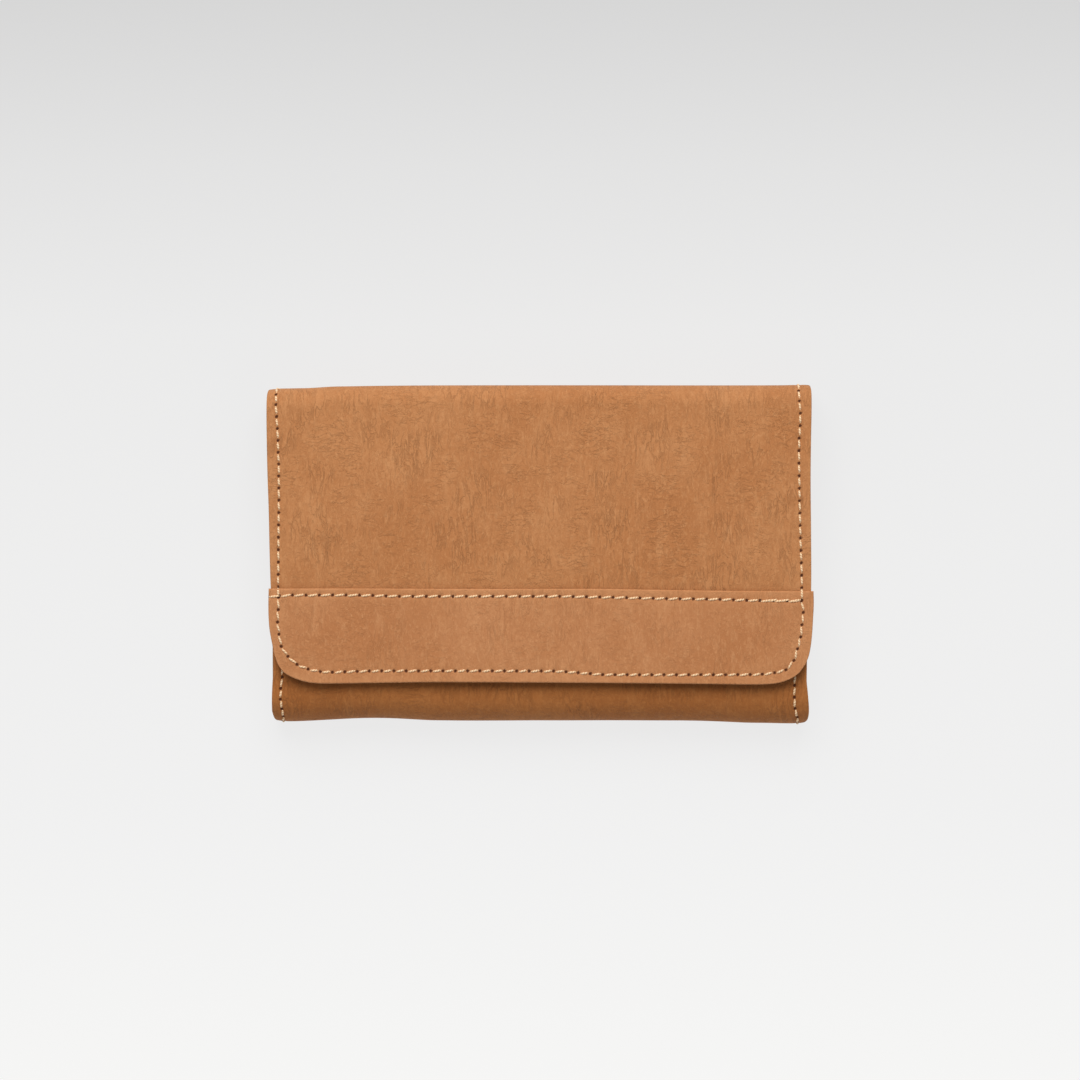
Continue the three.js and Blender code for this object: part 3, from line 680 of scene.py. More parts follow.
# The seam down the left side, round the band's corners and up the right side
U_SEAM = [(-91.6, 53.2), (-91.4, 48.9), (-91.1, 44.6), (-90.9, 40.4), (-90.85, 36.2), (-90.6, 31.9), (-90.6, 18.8), (-90.7, 4.9), (-90.8, -7.4), (-90.9, -11.4),
          (-90.7, -15.1), (-90.8, -19.8), (-91.0, -24.1), (-90.4, -28.7), (-89.6, -32.8), (-86.9, -36.2), (-83.6, -38.95), (-79.5, -40.3), (-75.3, -41.0), (-71.0, -41.1),
          (-66.7, -40.85), (-58.2, -40.65), (-48.5, -40.6), (-20.7, -40.6), (7.1, -40.7), (14.0, -41.3), (21.0, -41.9), (48.8, -42.0), (76.6, -41.9),
          (80.7, -41.4), (85.2, -40.8), (88.6, -36.75), (89.8, -32.5), (90.8, -28.3), (91.2, -24.4), (91.7, -20.2), (91.15, -16.1), (91.15, -11.75), (91.15, -7.5),
          (90.7, 4.9), (90.4, 18.8), (90.2, 32.4), (90.2, 36.6), (90.3, 40.8), (90.6, 44.9), (90.65, 49.3), (90.35, 53.4), (90.1, 56.4)]
_flat = plan(U_SEAM)
_cut = [i for i, p in enumerate(U_SEAM) if p[1] < -12.2]
SEAM_L = evenly([(-91.2, 1.9), (-91.6, 8.0)] + _flat[:_cut[0]], 4.25)              # left side of the flap, from the spine down
SEAM_U = evenly(_flat[_cut[0]:_cut[-1] + 1], 4.3)                                  # on the band
SEAM_R = evenly(_flat[_cut[-1] + 1:] + [(90.2, 6.0), (90.0, 1.9)], 4.25)           # right side, from the band up to the spine
BAND_SEAM = evenly(plan([(-90.4, -14.6), (-85.9, -14.3), (-81.5, -14.35), (-69, -14.25), (-60, -14.4), (-48.5, -14.7), (7.1, -14.7), (25, -15.1), (42.4, -15.5), (61.8, -15.75), (76.6, -16.2)]), 4.64)
BAND_ENDS = evenly(plan([(-94.5, -14.9), (-90.4, -14.6)]), 4.3)
TACK_1 = evenly(plan([(76.6, -16.2), (90.9, -16.35)]), 4.6)
TACK_2 = evenly(plan([(91.0, -16.2), (79.0, -16.1)]), 4.4)

LEFT_FRONT = [(-89.7, 2.2), (-89.5, 12), (-89.3, 22.4), (-89.65, 25.9), (-90.15, 29.6), (-90.1, 33.6), (-89.6, 37.5), (-89.5, 41.0), (-89.7, 60), (-89.8, 114.6)]
RIGHT_FRONT = [(89.8, 2.2), (90.1, 12), (90.0, 22.5), (88.95, 27), (88.6, 32.2), (88.8, 36.3), (89.1, 45), (89.6, 60), (89.8, 114.6)]
SEAM_FL, SEAM_FR = evenly(LEFT_FRONT, 3.95), evenly(RIGHT_FRONT, 4.1)
SEAM_FT = evenly([(-89.8, 115.4), (89.8, 115.4)], 4.25)
SEAM_BL, SEAM_BR = evenly([(-90.0, 2.0), (-90.0, 90), (-90.9, 108), (-91.0, 114.4)], 4.2), evenly([(90.0, 2.0), (90.0, 90), (90.4, 108), (90.2, 114.4)], 4.2)


# ---------------------------------------------------------------- the shell
def flap_lift(x, v):
    flat = smooth(v, 12, 26)
    edge = smooth(v, 96, 112)
    return flat * 0.16 * waves(x, v, 38.0, 1) + edge * 0.12 * waves(x, v, 14.0, 2, 1)


def front_lift(x, v):
    return 0.14 * waves(x, v, 30.0, 3) * smooth(v, 4, 12) * (1 - smooth(v, 100, 118) * 0.6)


def back_lift(x, v):
    return (-0.12 + 0.12 * waves(x, v, 34.0, 4)) * smooth(v, 1, 12) * (1 - smooth(v, 92, 108))


def painted_band_and_fold_shade(x, v):
    """Painted shade: darker where the leather meets the band's upper edge, and darker over the top fold."""
    gap = np.interp(x, [p[0] for p in BAND_HEAD], [p[1] for p in BAND_HEAD]) - v
    fold = smooth(v, 0, 5) * (1 - smooth(v, 11, 19))
    return np.exp(-(np.maximum(gap, 0) / 1.6) ** 1.5) * (gap > -1.5) + 0.42 * fold


side_fine = [(-92.9, -88.7), (88.7, 92.9)]
us = spread(-94.8, 94.5, 2.0, side_fine, 0.52)
flap_sheet = Sheet(FLAP, coons(FLAP_START, FLAP_LOW, FLAP_LEFT, FLAP_RIGHT, us, spread(0, 112.4, 2.4, [(0, 81)], 0.55, False)),
                   0.0, LEATHER, flap_lift, S_FLAP, [SEAM_L, SEAM_R], ("start",), tone=painted_band_and_fold_shade)
flap = flap_sheet.build("flap_leather", [M_SHELL, M_EDGE, M_UNDER])

# the band gets a wider painted highlight along its cut edges
band_sheet = Sheet(FLAP, coons(BAND_HEAD, BAND_FOOT, BAND_LEFT, BAND_RIGHT, spread(-94, 95, 0.5), spread(0, 32.9, 0.5)),
                   BAND_TOP - FLAP_TOP, BAND_TOP - BAND_LOW, flap_lift, S_FLAP + 200.0, [SEAM_U, BAND_SEAM, TACK_1, BAND_ENDS], rim=3.0)
band = band_sheet.build("band_leather", [M_BAND, M_EDGE, M_UNDER])

us = spread(-93.5, 93.5, 2.2, [(-91.4, -88.2), (87.4, 91.4)], 0.5)
front_vs = spread(0, FRONT.length, 1.1, [(18, 44)], 0.5, False)
front_vs = np.unique(np.concatenate([front_vs, FRONT.length - np.array([0.12, 0.35, 0.8])]))
front_sheet = Sheet(FRONT, straight_grid(side_left_front, side_right_front, us, front_vs), 0.0, LEATHER, front_lift, S_FRONT, [SEAM_FL, SEAM_FR, SEAM_FT], ("start",), flow=-1)
front = front_sheet.build("front_leather", [M_FRONT_SHADED, M_EDGE, M_UNDER])

us = spread(-93.5, 93.5, 2.2, [(-92.2, -88.6), (88.6, 92.2)], 0.6)
back_sheet = Sheet(BACK, straight_grid(lambda v: -side_back(v), side_back, us, spread(0, BACK.length, 0.9, (), 0.5, False)),
                   0.0, LEATHER, back_lift, S_BACK, [SEAM_BL, SEAM_BR], ("start", "end"))
back = back_sheet.build("back_leather", [M_SHELL, M_EDGE, M_UNDER])

# ---------------------------------------------------------------- lining, one strip under the shell
us = spread(-93, 93, 3.0)
lin_flap = Sheet(FLAP, coons([(-93.4, 0), (93.2, 0)], [(-88.8, 106.2), (-85.8, 109.1), (-81.0, 110.8), (-76, 111.3), (0, 111.2), (76, 111.6), (82, 111.2), (86.6, 109.7), (88.8, 107.6)],
                             [(-93.4, 0), (-93.6, 5.2), (-93.8, 10), (-93.9, 18), (-93.7, 42), (-92.9, 68), (-92.5, 84), (-91.4, 98), (-90.3, 103), (-88.8, 106.2)],
                             [(93.2, 0), (93.4, 5.2), (93.6, 10), (93.6, 18), (93.4, 42), (93.5, 79), (92.9, 95), (91.6, 103), (88.8, 107.6)], us, spread(0, 111.4, 2.5, ends=False)),
                 -(LEATHER + GAP), LINING, flap_lift, 400.0, (), ("start",)).build("flap_lining_leather", [M_LINING, M_EDGE_DARK, M_LINING])
lin_back = Sheet(BACK, straight_grid(lambda v: -side_back(v) + 0.6, lambda v: side_back(v) - 0.6, us, spread(0, BACK.length, 1.6, ends=False)),
                 -(LEATHER + GAP), LINING, back_lift, 600.0, (), ("start", "end")).build("back_lining_leather", [M_LINING, M_EDGE_DARK, M_LINING])
lin_front = Sheet(FRONT, straight_grid(lambda v: side_left_front(v) + 0.6, lambda v: side_right_front(v) - 0.6, us, spread(0, FRONT.length - 0.15, 1.6, ends=False)),
                  -(LEATHER + GAP), LINING, front_lift, 800.0, (), ("start",)).build("front_lining_leather", [M_LINING, M_EDGE_DARK, M_LINING])


# ---------------------------------------------------------------- stitches
def stitches(name, runs, width=0.78, height=0.5, bury=0.3):
    """Lock stitches lying between holes. runs is [(sheet, holes, first, last, slant, low)]: each stitch covers the share first to last
    of its pitch and slants by that many mm. low is how far below the sheet's face it starts (above 0) or ends (below 0)."""
    verts, faces, strand = [], [], []
    rings, sides = 9, 8
    for sheet, holes, first, last, slant, *low in runs:
        low = low[0] if low else 0.0
        for i, (a, b) in enumerate(zip(holes[:-1], holes[1:])):
            d = b - a
            length = float(np.linalg.norm(d))
            if length < 1e-6:
                continue
            u = d / length
            side = np.array([u[1], -u[0]])
            k = 1 + 0.10 * math.sin(i * 12.9898 + len(verts) * 0.013)
            f, l = first + 0.02 * math.sin(i * 3.7), last + 0.02 * math.sin(i * 5.1 + 1)
            base = len(verts)
            for j in range(rings):
                s = j / (rings - 1)
                bulge = max(math.sin(math.pi * s), 0.0)
                c = a + d * (f + (l - f) * s) + side * slant * k * (s - 0.5)
                fat = 0.5 + 0.5 * bulge ** 0.5
                up = -bury + (bury + 0.1) * bulge ** 0.45 - abs(low) * (1 - float(smooth(s if low > 0 else 1 - s, 0.0, 0.34)))
                for q in range(sides):
                    ang = 2 * math.pi * q / sides
                    flat = c + side * (0.5 * width * fat * math.cos(ang))
                    h = up + 0.5 * height * fat * math.sin(ang)
                    verts.append((flat[0], flat[1], h))
                    strand.append((s * length * (l - f), q / sides, 0.0))
            for j in range(rings - 1):
                for q in range(sides):
                    p = base + j * sides
                    faces.append((p + q, p + (q + 1) % sides, p + sides + (q + 1) % sides, p + sides + q))
            faces.append(tuple(base + q for q in reversed(range(sides))))
            faces.append(tuple(base + (rings - 1) * sides + q for q in range(sides)))
            for m in range(base, len(verts)):
                x, v, h = verts[m]
                verts[m] = (x, v, h, sheet)
    flat = np.array([v[:3] for v in verts])
    out = np.empty((len(verts), 3))
    for sheet in {id(v[3]): v[3] for v in verts}.values():
        pick = np.array([v[3] is sheet for v in verts])
        out[pick] = sheet.point(flat[pick, 0], flat[pick, 1], flat[pick, 2])
    out *= MM
    # a mapping that mirrors the flat frame turns every face over
    p = out[list(faces[0])]
    centre = out[:rings * sides].mean(0)
    n = np.cross(p[1] - p[0], p[2] - p[0])
    if n @ (p.mean(0) - out[:sides * 2].mean(0)) < 0:
        faces = [f[::-1] for f in faces]
    return add_mesh(name, out, faces, [M_THREAD], None, {"strand": ("FLOAT_VECTOR", strand)}, 80)


th_flap = stitches("flap_side_stitches", [(flap_sheet, SEAM_L, 0.17, 0.80, 0.22), (flap_sheet, SEAM_R, 0.22, 0.86, 0.22)])
STEP = BAND_TOP - FLAP_TOP
th_band = stitches("band_edge_stitches", [(band_sheet, SEAM_U, 0.17, 0.84, 0.55), (band_sheet, np.array([SEAM_L[-1], SEAM_U[0]]), 0.1, 0.86, 0.1, STEP),
                                          (band_sheet, np.array([SEAM_U[-1], SEAM_R[0]]), 0.12, 0.9, 0.1, -STEP)])
th_top = stitches("band_top_stitches", [(band_sheet, BAND_SEAM, 0.12, 0.88, 0.55), (band_sheet, TACK_1, 0.06, 0.97, 0.55),
                                        (band_sheet, TACK_2, 0.05, 0.96, 0.6), (band_sheet, BAND_ENDS, 0.12, 1.0, 0.1)])
th_front = stitches("front_side_stitches", [(front_sheet, SEAM_FL, 0.16, 0.84, 0.3), (front_sheet, SEAM_FR, 0.16, 0.84, 0.3), (front_sheet, SEAM_FT, 0.15, 0.85, 0.5)])
th_back = stitches("back_side_stitches", [(back_sheet, SEAM_BL, 0.16, 0.84, 0.3), (back_sheet, SEAM_BR, 0.16, 0.84, 0.3)], height=0.4, bury=0.32)


# ---------------------------------------------------------------- extruded ribbons: gussets and zip tapes
def ribbon(name, section, along, thick, place, mats, s0, ends=None):
    """A thin strip: section is a smooth line of 2D points in mm, carried over the along values by place(a, b, t)."""
    sec = resample(section, np.linspace(0, 1, 41))
    tan = np.gradient(sec, axis=0)
    tan /= np.linalg.norm(tan, axis=1)[:, None]
    nor = np.stack([tan[:, 1], -tan[:, 0]], 1)
    length = np.concatenate([[0], np.cumsum(np.linalg.norm(np.diff(sec, axis=0), axis=1))])
    verts, lc = [], []
    for half in (1, -1):
        for t in along:
            for i in range(len(sec)):
                edge = min(length[i], length[-1] - length[i])
                k = 1 - 0.35 * math.exp(-edge / 0.25)
                wide = thick(i / (len(sec) - 1)) if callable(thick) else thick
                a, b = sec[i] + nor[i] * half * wide / 2 * k
                verts.append(place(a, b, t, i / (len(sec) - 1)))
                lc.append((length[i] + s0, t, half * 9.0))
    m, n = len(along), len(sec)
    idx = np.arange(m * n).reshape(m, n)
    faces = []
    for i in range(m - 1):
        for j in range(n - 1):
            a, b, c, d = idx[i, j], idx[i, j + 1], idx[i + 1, j + 1], idx[i + 1, j]
            faces.append((a, b, c, d))
            faces.append((a + m * n, d + m * n, c + m * n, b + m * n))
    ring = list(idx[0]) + list(idx[1:, -1]) + list(idx[-1, :-1][::-1]) + list(idx[1:-1, 0][::-1])
    k = len(faces)
    for p, q in zip(ring, ring[1:] + ring[:1]):
        faces.append((p, p + m * n, q + m * n, q))
    fm = [0] * k + [1] * (len(faces) - k)
    ob = add_mesh(name, np.array(verts) * MM, faces, mats, fm, {"lc": ("FLOAT_VECTOR", np.array(lc) * MM), "hole": ("FLOAT", np.zeros(len(verts))),
                                                              "rim": ("FLOAT", np.zeros(len(verts)))}, 60)
    fix_normals(ob)
    return ob


def fix_normals(ob):
    import bmesh
    b = bmesh.new()
    b.from_mesh(ob.data)
    bmesh.ops.recalc_face_normals(b, faces=b.faces)
    b.to_mesh(ob.data)
    b.free()
    ob.data.set_sharp_from_angle(angle=math.radians(60))


def gusset(name, side, sec, s0, thick=0.55):
    ys = np.linspace(-47.6, 36.8, 60)
    fold = min(p[0] for p in sec)
    far = max(p[0] for p in sec)

    def place(a, b, t, i):
        q = (far - a) / (far - fold)          # 1 at the fold
        y = t - 2.6 * q * smooth(t, 10, 37)
        drop = 0.25 * math.sin(t * 0.23 + s0) * q * q
        return warp(np.array([side * (a + drop), y, b]))
    return ribbon(name, sec, ys, thick, place, [M_LINING, M_EDGE_DARK], s0)


def closed(x):
    """How far the zip pocket's sides are sewn down: 1 inside, small at the sides."""
    return 1 - 0.768 * smooth(np.abs(x), 84.5, 89.8)


def purse_shape(p):
    top = PURSE_Z[1]
    q = p.copy()
    z = p[..., 2]
    q[..., 2] = np.where(z < top, top - (top - z) * closed(p[..., 0]), z)
    return q


G_REAR, G_FRONT = (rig.box("gusset_rear_left"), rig.box("gusset_front_left"))
R0, R1, F0, F1 = (v / MM for v in (G_REAR[0][2], G_REAR[1][2], G_FRONT[0][2], G_FRONT[1][2]))
rear_wall = lambda x: PURSE_Z[1] - (PURSE_Z[1] - PURSE_Z[0]) * float(closed(x)) - 0.36
REAR_SEC = ([(91.2, rear_wall(91.2)), (89.9, rear_wall(89.9))] + [(x, rear_wall(x)) for x in (89.0, 88.0, 87.0, 86.0, 85.0, 84.0)]
            + [(82.0, R1 - 0.75), (80.7, R1 - 1.35), (80.2, (R0 + R1) / 2), (80.7, R0 + 1.35), (82.2, R0 + 0.7), (86.0, R0 + 0.36), (92.4, R0 + 0.3)])
FRONT_SEC = [(90.9, F0 + 0.10), (87.5, F0 + 0.10), (84.4, F0 + 0.14), (82.3, F0 + 0.45), (81.0, F0 + 1.15), (80.3, (F0 + F1) / 2), (81.2, F1 - 1.2), (83.6, F1 - 0.62),
             (87.5, F1 - 0.34), (92.4, F1 - 0.3)]
g_rl, g_rr = gusset("rear_gusset_left", -1, REAR_SEC, 1000), gusset("rear_gusset_right", 1, REAR_SEC, 1100)
# the leg on the card slots is pressed thin; it swells as the pocket opens
pressed_leg = lambda i: 0.1 + 0.45 * float(smooth(i, 0.25, 0.85))
g_fl, g_fr = gusset("front_gusset_left", -1, FRONT_SEC, 1200, pressed_leg), gusset("front_gusset_right", 1, FRONT_SEC, 1300, pressed_leg)

# ---------------------------------------------------------------- zip pocket: one folded sheet, pinched at its side seams
PM = (PURSE_Z[0] + PURSE_Z[1]) / 2
PR = (PURSE_Z[1] - PURSE_Z[0]) / 2
PURSE = Path((PURSE_Y[1], PURSE_Z[0]), -1, [("line", (PURSE_Y[0] + PR, PURSE_Z[0])), ("arc", (PURSE_Y[0] + PR, PM), PR, 270, 90), ("line", (PURSE_Y[1], PURSE_Z[1]))])


def purse_lift(x, v):
    return 0.05 * waves(x, v, 22.0, 6) - 0.05


purse_sheet = Sheet(PURSE, straight_grid(lambda v: np.full_like(v, -PURSE_X), lambda v: np.full_like(v, PURSE_X), spread(-90, 90, 3.0, [(-90, -82), (82, 90)], 0.6),
                                         spread(0, PURSE.length, 2.0)), 0.0, LINING, purse_lift, 1400.0, shape=purse_shape)
purse = purse_sheet.build("purse_walls", [M_LINING, M_EDGE_DARK, M_LINING])


def purse_v(y):
    return PURSE.length - (PURSE_Y[1] - y)


cards, card_runs = [], []
tops = [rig.box(f"card_strip_{i}")[1][1] / MM for i in (1, 2, 3)]
for i, y1 in enumerate(tops):
    outer = 0.6 * (i + 1)
    half = PURSE_X - 1.2
    dip = lambda x: np.zeros_like(x)
    vs = spread(purse_v(PURSE_Y[0] + 4), purse_v(y1), 1.6)
    us = spread(-half, half, 2.2, [(-1.6, 1.6), (-88, -86), (86, 88)], 0.5)
    grid = straight_grid(lambda v: np.full_like(v, -half), lambda v: np.full_like(v, half), us, vs)
    # thumb dips in the mouth of each column of slots
    for c in (-44.0, 44.0):
        hollow = 2.2 * np.exp(-((grid[..., 0] - c) / 11.0) ** 4) * smooth(grid[..., 1], vs[-1] - 14, vs[-1])
        grid[..., 1] -= hollow
    seams = []
    low = tops[i + 1] - 1.0 if i < 2 else PURSE_Y[0] + 7
    for x in (-87.2, 0.0, 87.2):
        seams.append(evenly([(x, purse_v(y1 - 2.0)), (x, purse_v(low + 1.2))], 4.0))
    sh = Sheet(PURSE, grid, outer, 0.5, purse_lift, 1600.0 + 150 * i, seams, (), 0.08)
    cards.append(sh.build(f"card_slots_{i + 1}", [M_CARD, M_EDGE, M_UNDER]))
    card_runs += [(sh, s, 0.15, 0.85, 0.3) for s in seams]
th_cards = stitches("card_slot_stitches", card_runs, 0.6, 0.34, 0.22)
mouth = evenly([(-86.0, purse_v(34.6)), (86.0, purse_v(34.6))], 4.0)
mouth_rear = evenly([(-86.0, PURSE_Y[1] - 34.6), (86.0, PURSE_Y[1] - 34.6)], 4.0)
th_mouth = stitches("zip_mouth_stitches", [(purse_sheet, mouth, 0.15, 0.85, 0.3), (purse_sheet, mouth_rear, 0.15, 0.85, 0.3)], 0.6, 0.34, 0.22)

# ---------------------------------------------------------------- zip
CHAIN_Y = (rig.box("zip_teeth_rear")[0][1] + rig.box("zip_teeth_rear")[1][1]) / 2 / MM
tapes = []
for key, k in (("rear", -1), ("front", 1)):
    wall = PM + k * 1.95
    sec = [(29.5, wall), (33.0, wall), (35.6, wall - k * 0.02), (36.6, wall - k * 0.16), (CHAIN_Y - 0.05, PM + k * 1.55), (CHAIN_Y, PM + k * 1.2), (CHAIN_Y, PM + k * 0.75)]
    xs = np.linspace(-88.4, 88.4, 120)

    def place(a, b, t, i):
        return purse_shape(np.array([t, a, b]))
    tapes.append(ribbon(f"zip_tape_{key}_weave", sec, xs, 0.3, place, [M_TAPE, M_TAPE], 0))


def teeth(name, k):
    """One row of cast teeth, each a rounded block with a narrower head that reaches between its neighbours across the zip."""
    verts, faces = [], []
    pitch, half = 2.0, 81.6
    outline = [(1.75, 0.42), (1.75, -0.42), (0.45, -0.42), (0.2, -0.6), (-0.25, -0.6), (-0.42, -0.36), (-0.42, 0.36), (-0.25, 0.6), (0.2, 0.6), (0.45, 0.42)]
    x = -half + (0 if k < 0 else pitch / 2)
    while x < half - 0.5:
        base = len(verts)
        for lift, shrink in ((-0.85, 0.16), (-0.68, 0.0), (0.68, 0.0), (0.85, 0.16)):
            for z, dx in outline:
                zz = 0.7 + (z - 0.7) * (1 - shrink)
                verts.append((x + dx * (1 - shrink), CHAIN_Y + lift, PM + k * zz))
        n = len(outline)
        for layer in range(3):
            for q in range(n):
                p = base + layer * n
                faces.append((p + q, p + (q + 1) % n, p + n + (q + 1) % n, p + n + q))
        faces.append(tuple(base + q for q in reversed(range(n))))
        faces.append(tuple(base + 3 * n + q for q in range(n)))
        x += pitch
    ob = add_mesh(name, np.array(verts) * MM, faces, [M_BRASS], None, None, 35)
    fix_normals(ob)
    return ob


teeth_rear, teeth_front = teeth("zip_teeth_rear_row", -1), teeth("zip_teeth_front_row", 1)


def finished(node, name, material, width=0.14, segments=3):
    """The CAD shape with its corners rounded off."""
    src = frame["nodes"][node] if not isinstance(frame["nodes"][node], str) else bpy.data.objects[node]
    me = src.data.copy()
    me.materials.clear()
    me.materials.append(material)
    ob = bpy.data.objects.new(name, me)
    bpy.context.scene.collection.objects.link(ob)
    import bmesh
    b = bmesh.new()
    b.from_mesh(me)
    bmesh.ops.remove_doubles(b, verts=b.verts, dist=1e-7)
    bmesh.ops.dissolve_limit(b, angle_limit=math.radians(2), verts=b.verts, edges=b.edges)
    b.to_mesh(me)
    b.free()
    mod = ob.modifiers.new("round", "BEVEL")
    mod.width, mod.segments, mod.limit_method, mod.angle_limit = width * MM, segments, "ANGLE", math.radians(38)
    mod.harden_normals = False
    me.polygons.foreach_set("use_smooth", np.ones(len(me.polygons), bool))
    me.set_sharp_from_angle(angle=math.radians(45))
    return ob


metalwork = {
    "zip_slider": finished("zip_slider", "zip_slider_body", M_BRASS, 0.13),
    "zip_pull": finished("zip_pull", "zip_pull_tab", M_BRASS, 0.12),
    "zip_stop_left": finished("zip_stop_left", "zip_stop_left_clip", M_BRASS, 0.25),
    "zip_stop_right": finished("zip_stop_right", "zip_stop_right_clip", M_BRASS, 0.25),
    "snap_stud": finished("snap_stud", "snap_stud_face", M_STEEL, 0.1),
    "snap_socket": finished("snap_socket", "snap_socket_face", M_STEEL, 0.1),
}
for node in ("snap_stud_washer", "snap_socket_washer"):
    o = bpy.data.objects[node]
    o.data.materials.clear()
    o.data.materials.append(M_STEEL)

# ---------------------------------------------------------------- how the pieces move, and which CAD solids they stand for
Y = lambda y, z: (0.0, y * MM, z * MM)
fold_a = (Y(C1[0], 0.0), Y(HALF_LENGTH, RT))
fold_b = (Y(HALF_LENGTH, C2[1]), Y(C2[0], FLAP_TOP))
fold_c = (Y(-HALF_LENGTH, RB), Y(C3[0], FRONT_TOP))
for o in (back, lin_back, th_back):
    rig.blend(o, "case", "spine", *fold_a)
for o in (flap, lin_flap, th_flap):
    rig.blend(o, "spine", "flap", *fold_b)
for o in (front, lin_front, th_front):
    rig.blend(o, "case", "front", *fold_c)
for o in (g_rl, g_rr):
    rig.blend(o, "case", "purse", Y(0, R0 + 0.4), Y(0, R1 - 0.4))
low, high = F0 + 0.03, F1 - 0.5
for o in (g_fl, g_fr):
    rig.blend(o, "case", "front", Y(0, 2 * low - high), Y(0, high))
for o in (band, th_band, th_top, metalwork["snap_socket"]):
    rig.ride(o, "flap")
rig.ride(metalwork["snap_stud"], "front")
for o in (purse, *cards, th_cards, th_mouth, *tapes, teeth_rear, teeth_front, metalwork["zip_stop_left"], metalwork["zip_stop_right"]):
    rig.ride(o, "purse")
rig.ride(metalwork["zip_slider"], "zip_slider")
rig.ride(metalwork["zip_pull"], "zip_pull")

for o, nodes in ((back, ["back_panel", "spine"]), (flap, ["flap_panel"]), (front, ["front_panel", "bottom_fold"]), (band, ["closure_band"]),
                 (lin_back, ["back_lining", "spine_lining"]), (lin_flap, ["flap_lining"]), (lin_front, ["front_lining", "bottom_fold_lining"]),
                 (th_flap, ["flap_side_thread_left", "flap_side_thread_right"]), (th_band, ["band_edge_thread"]), (th_top, ["band_top_thread"]),
                 (th_front, ["front_side_thread_left", "front_side_thread_right"]),
                 (g_rl, ["gusset_rear_left"]), (g_rr, ["gusset_rear_right"]), (g_fl, ["gusset_front_left"]), (g_fr, ["gusset_front_right"]),
                 (purse, ["purse_rear_wall", "purse_front_wall"]), (cards[0], ["card_strip_1"]), (cards[1], ["card_strip_2"]), (cards[2], ["card_strip_3"]),
                 (tapes[0], ["zip_tape_rear"]), (tapes[1], ["zip_tape_front"]), (teeth_rear, ["zip_teeth_rear"]), (teeth_front, ["zip_teeth_front"])):
    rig.replaces(o, *nodes)
for node, o in metalwork.items():
    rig.replaces(o, node)
for o, name in ((back, "shell_leather"), (flap, "shell_leather"), (front, "shell_leather"), (band, "band_leather"), (lin_back, "lining_leather"),
                (lin_flap, "lining_leather"), (lin_front, "lining_leather"), (th_flap, "thread"), (th_band, "thread"), (th_top, "thread"), (th_front, "thread"),
                (th_back, "thread"), (th_cards, "thread"), (th_mouth, "thread"), (g_rl, "lining_leather"), (g_rr, "lining_leather"), (g_fl, "lining_leather"),
                (g_fr, "lining_leather"), (purse, "lining_leather"), (cards[0], "card_leather"), (cards[1], "card_leather"), (cards[2], "card_leather"),
                (tapes[0], "zip_tape"), (tapes[1], "zip_tape"), (teeth_rear, "zip_metal"), (teeth_front, "zip_metal"),
                (metalwork["zip_slider"], "zip_metal"), (metalwork["zip_pull"], "zip_metal"), (metalwork["zip_stop_left"], "zip_metal"),
                (metalwork["zip_stop_right"], "zip_metal"), (metalwork["snap_stud"], "snap_metal"), (metalwork["snap_socket"], "snap_metal")):
    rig.slot(o, name)

# ---------------------------------------------------------------- floor, light and camera
k = Nodes("studio_floor")
pos = k.n("TexCoord").outputs["Object"]
gy = k.n("SeparateXYZ", Vector=pos).outputs[1]
ramp = k.t.nodes.new("ShaderNodeValToRGB")
ramp.color_ramp.interpolation = "LINEAR"
k.set(ramp.inputs[0], k.ramp(gy, -0.187, 0.193))
k.t.nodes[-1].name = "place"
for node in k.t.nodes:
    if node.type == "MAP_RANGE":
        node.interpolation_type = "LINEAR"
# painted light on the floor: the colour ramp paints a brightness gradient, lighter towards -Y and darker towards +Y
el = ramp.color_ramp.elements
el[0].position, el[0].color = 0.0, (0.930, 0.930, 0.922, 1)
el[1].position, el[1].color = 1.0, (0.672, 0.672, 0.672, 1)
for at, c in ((0.26, 0.880), (0.49, 0.855), (0.70, 0.823), (0.85, 0.76)):
    e = el.new(at)
    e.color = (c, c, c, 1)
# painted light: the floor mostly glows by itself, which washes out the shadows on it
GLOW = 0.90
dif = k.n("BsdfDiffuse")
k.set(dif.inputs[0], k.mix(1.0, ramp.outputs[0], (1 - GLOW,) * 3 + (1.0,), "MULTIPLY"))
emi = k.n("Emission")
k.set(emi.inputs[0], ramp.outputs[0])
emi.inputs[1].default_value = GLOW
both = k.t.nodes.new("ShaderNodeAddShader")
k.t.links.new(dif.outputs[0], both.inputs[0])
k.t.links.new(emi.outputs[0], both.inputs[1])
k.t.links.new(both.outputs[0], k.out.inputs[0])
rings = [(0.0, 0.0), (0.5, 0.0), (2.0, 0.0), (4.6, 0.0)] + [(4.6 + 0.8 * math.sin(t), 0.8 - 0.8 * math.cos(t)) for t in np.linspace(0.15, math.pi / 2, 9)] + [(5.4, 1.2)]
verts, faces, N = [(0, 0, 0)], [], 72
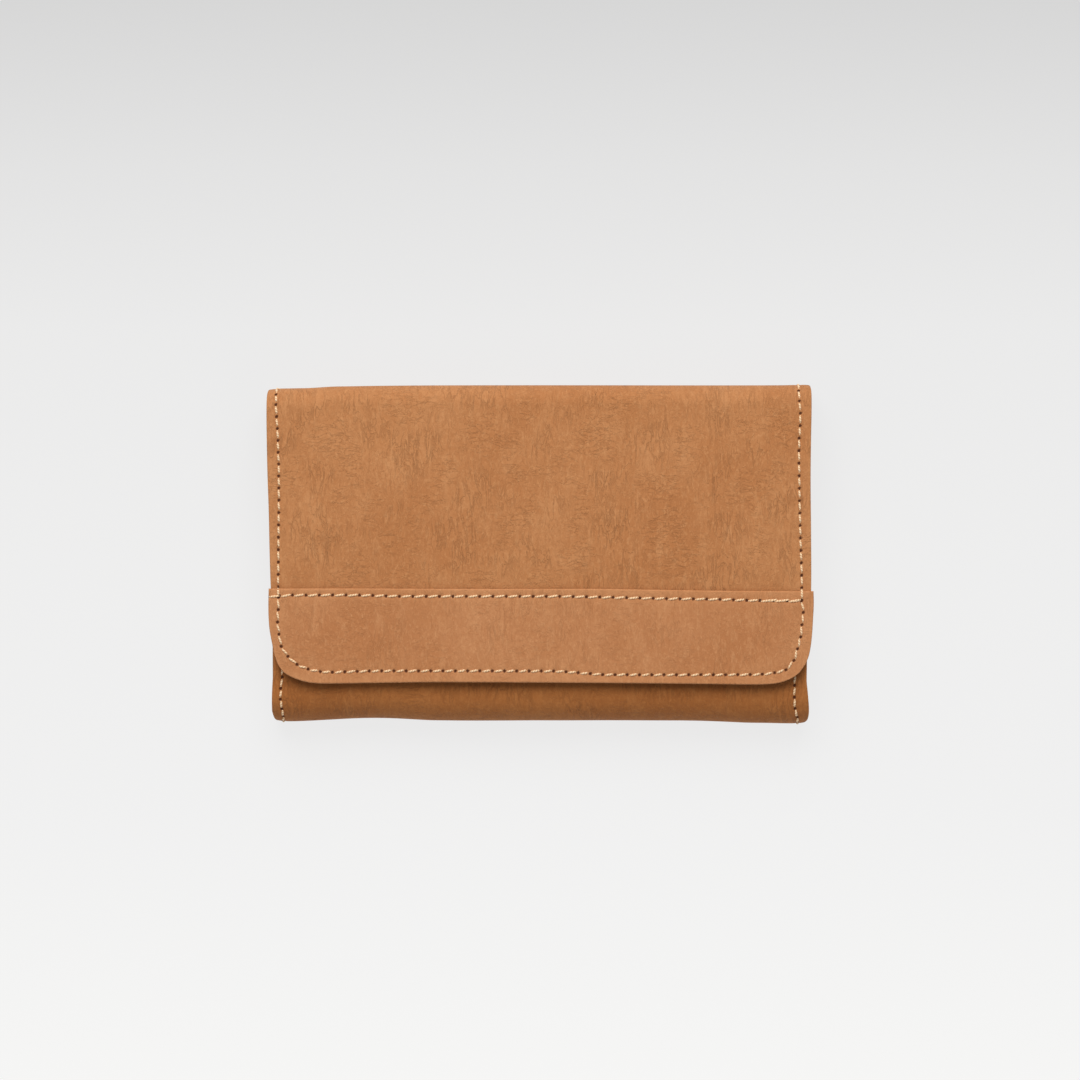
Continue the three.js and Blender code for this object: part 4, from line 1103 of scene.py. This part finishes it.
for r, h in rings[1:]:
    verts += [(r * math.cos(2 * math.pi * i / N), r * math.sin(2 * math.pi * i / N), h) for i in range(N)]
for i in range(N):
    faces.append((0, 1 + i, 1 + (i + 1) % N))
    for j in range(len(rings) - 2):
        p = 1 + j * N
        faces.append((p + i, p + N + i, p + N + (i + 1) % N, p + (i + 1) % N))
floor = add_mesh("studio_floor", verts, faces, [k.m], None, None, 60)
floor.location = (0, 0, -0.0004)
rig.stage(floor)

world = bpy.data.worlds.new("studio")
bpy.context.scene.world = world
world.use_nodes = True
world.node_tree.nodes["Background"].inputs[0].default_value = (0.94, 0.97, 1.0, 1)
world.node_tree.nodes["Background"].inputs[1].default_value = 0.205


def lamp(name, at, size, power, colour=(1, 1, 1), aim=(0, 0, 0.012)):
    data = bpy.data.lights.new(name, "AREA")
    data.shape, data.size, data.energy, data.color = "DISK", size, power, colour
    ob = bpy.data.objects.new(name, data)
    ob.location = at
    ob.rotation_euler = (Vector(aim) - Vector(at)).to_track_quat("-Z", "Y").to_euler()
    bpy.context.scene.collection.objects.link(ob)
    return ob


lamp("key", (-0.10, 0.88, 1.16), 1.35, 23.4, (1.0, 0.968, 0.94))
lamp("fill", (0.5, -0.9, 1.5), 1.4, 3.4, (0.96, 0.98, 1.0))

PX = 0.3475                      # mm across one pixel of a 1080 pixel frame, at the flap's face
cam_data = bpy.data.cameras.new("camera")
cam_data.lens, cam_data.sensor_width = 250, 36
width = 1080 * PX * MM
far = width * 250 / 36
cam_data.clip_start, cam_data.clip_end = 0.05, 20
cam = bpy.data.objects.new("camera", cam_data)
cam.location = (0.5 * PX * MM, 14 * PX * MM, far + FLAP_TOP * MM)
cam.rotation_euler = (0, 0, 0)
bpy.context.scene.collection.objects.link(cam)
bpy.context.scene.camera = cam
bpy.context.scene.view_settings.view_transform = "Standard"
bpy.context.scene.view_settings.look = "None"

bpy.context.view_layer.update()
with open("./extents.json", "w") as f:
    json.dump([[list(map(float, c)) for c in CAD_BOX], [list(map(float, c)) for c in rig.bounds()]], f)
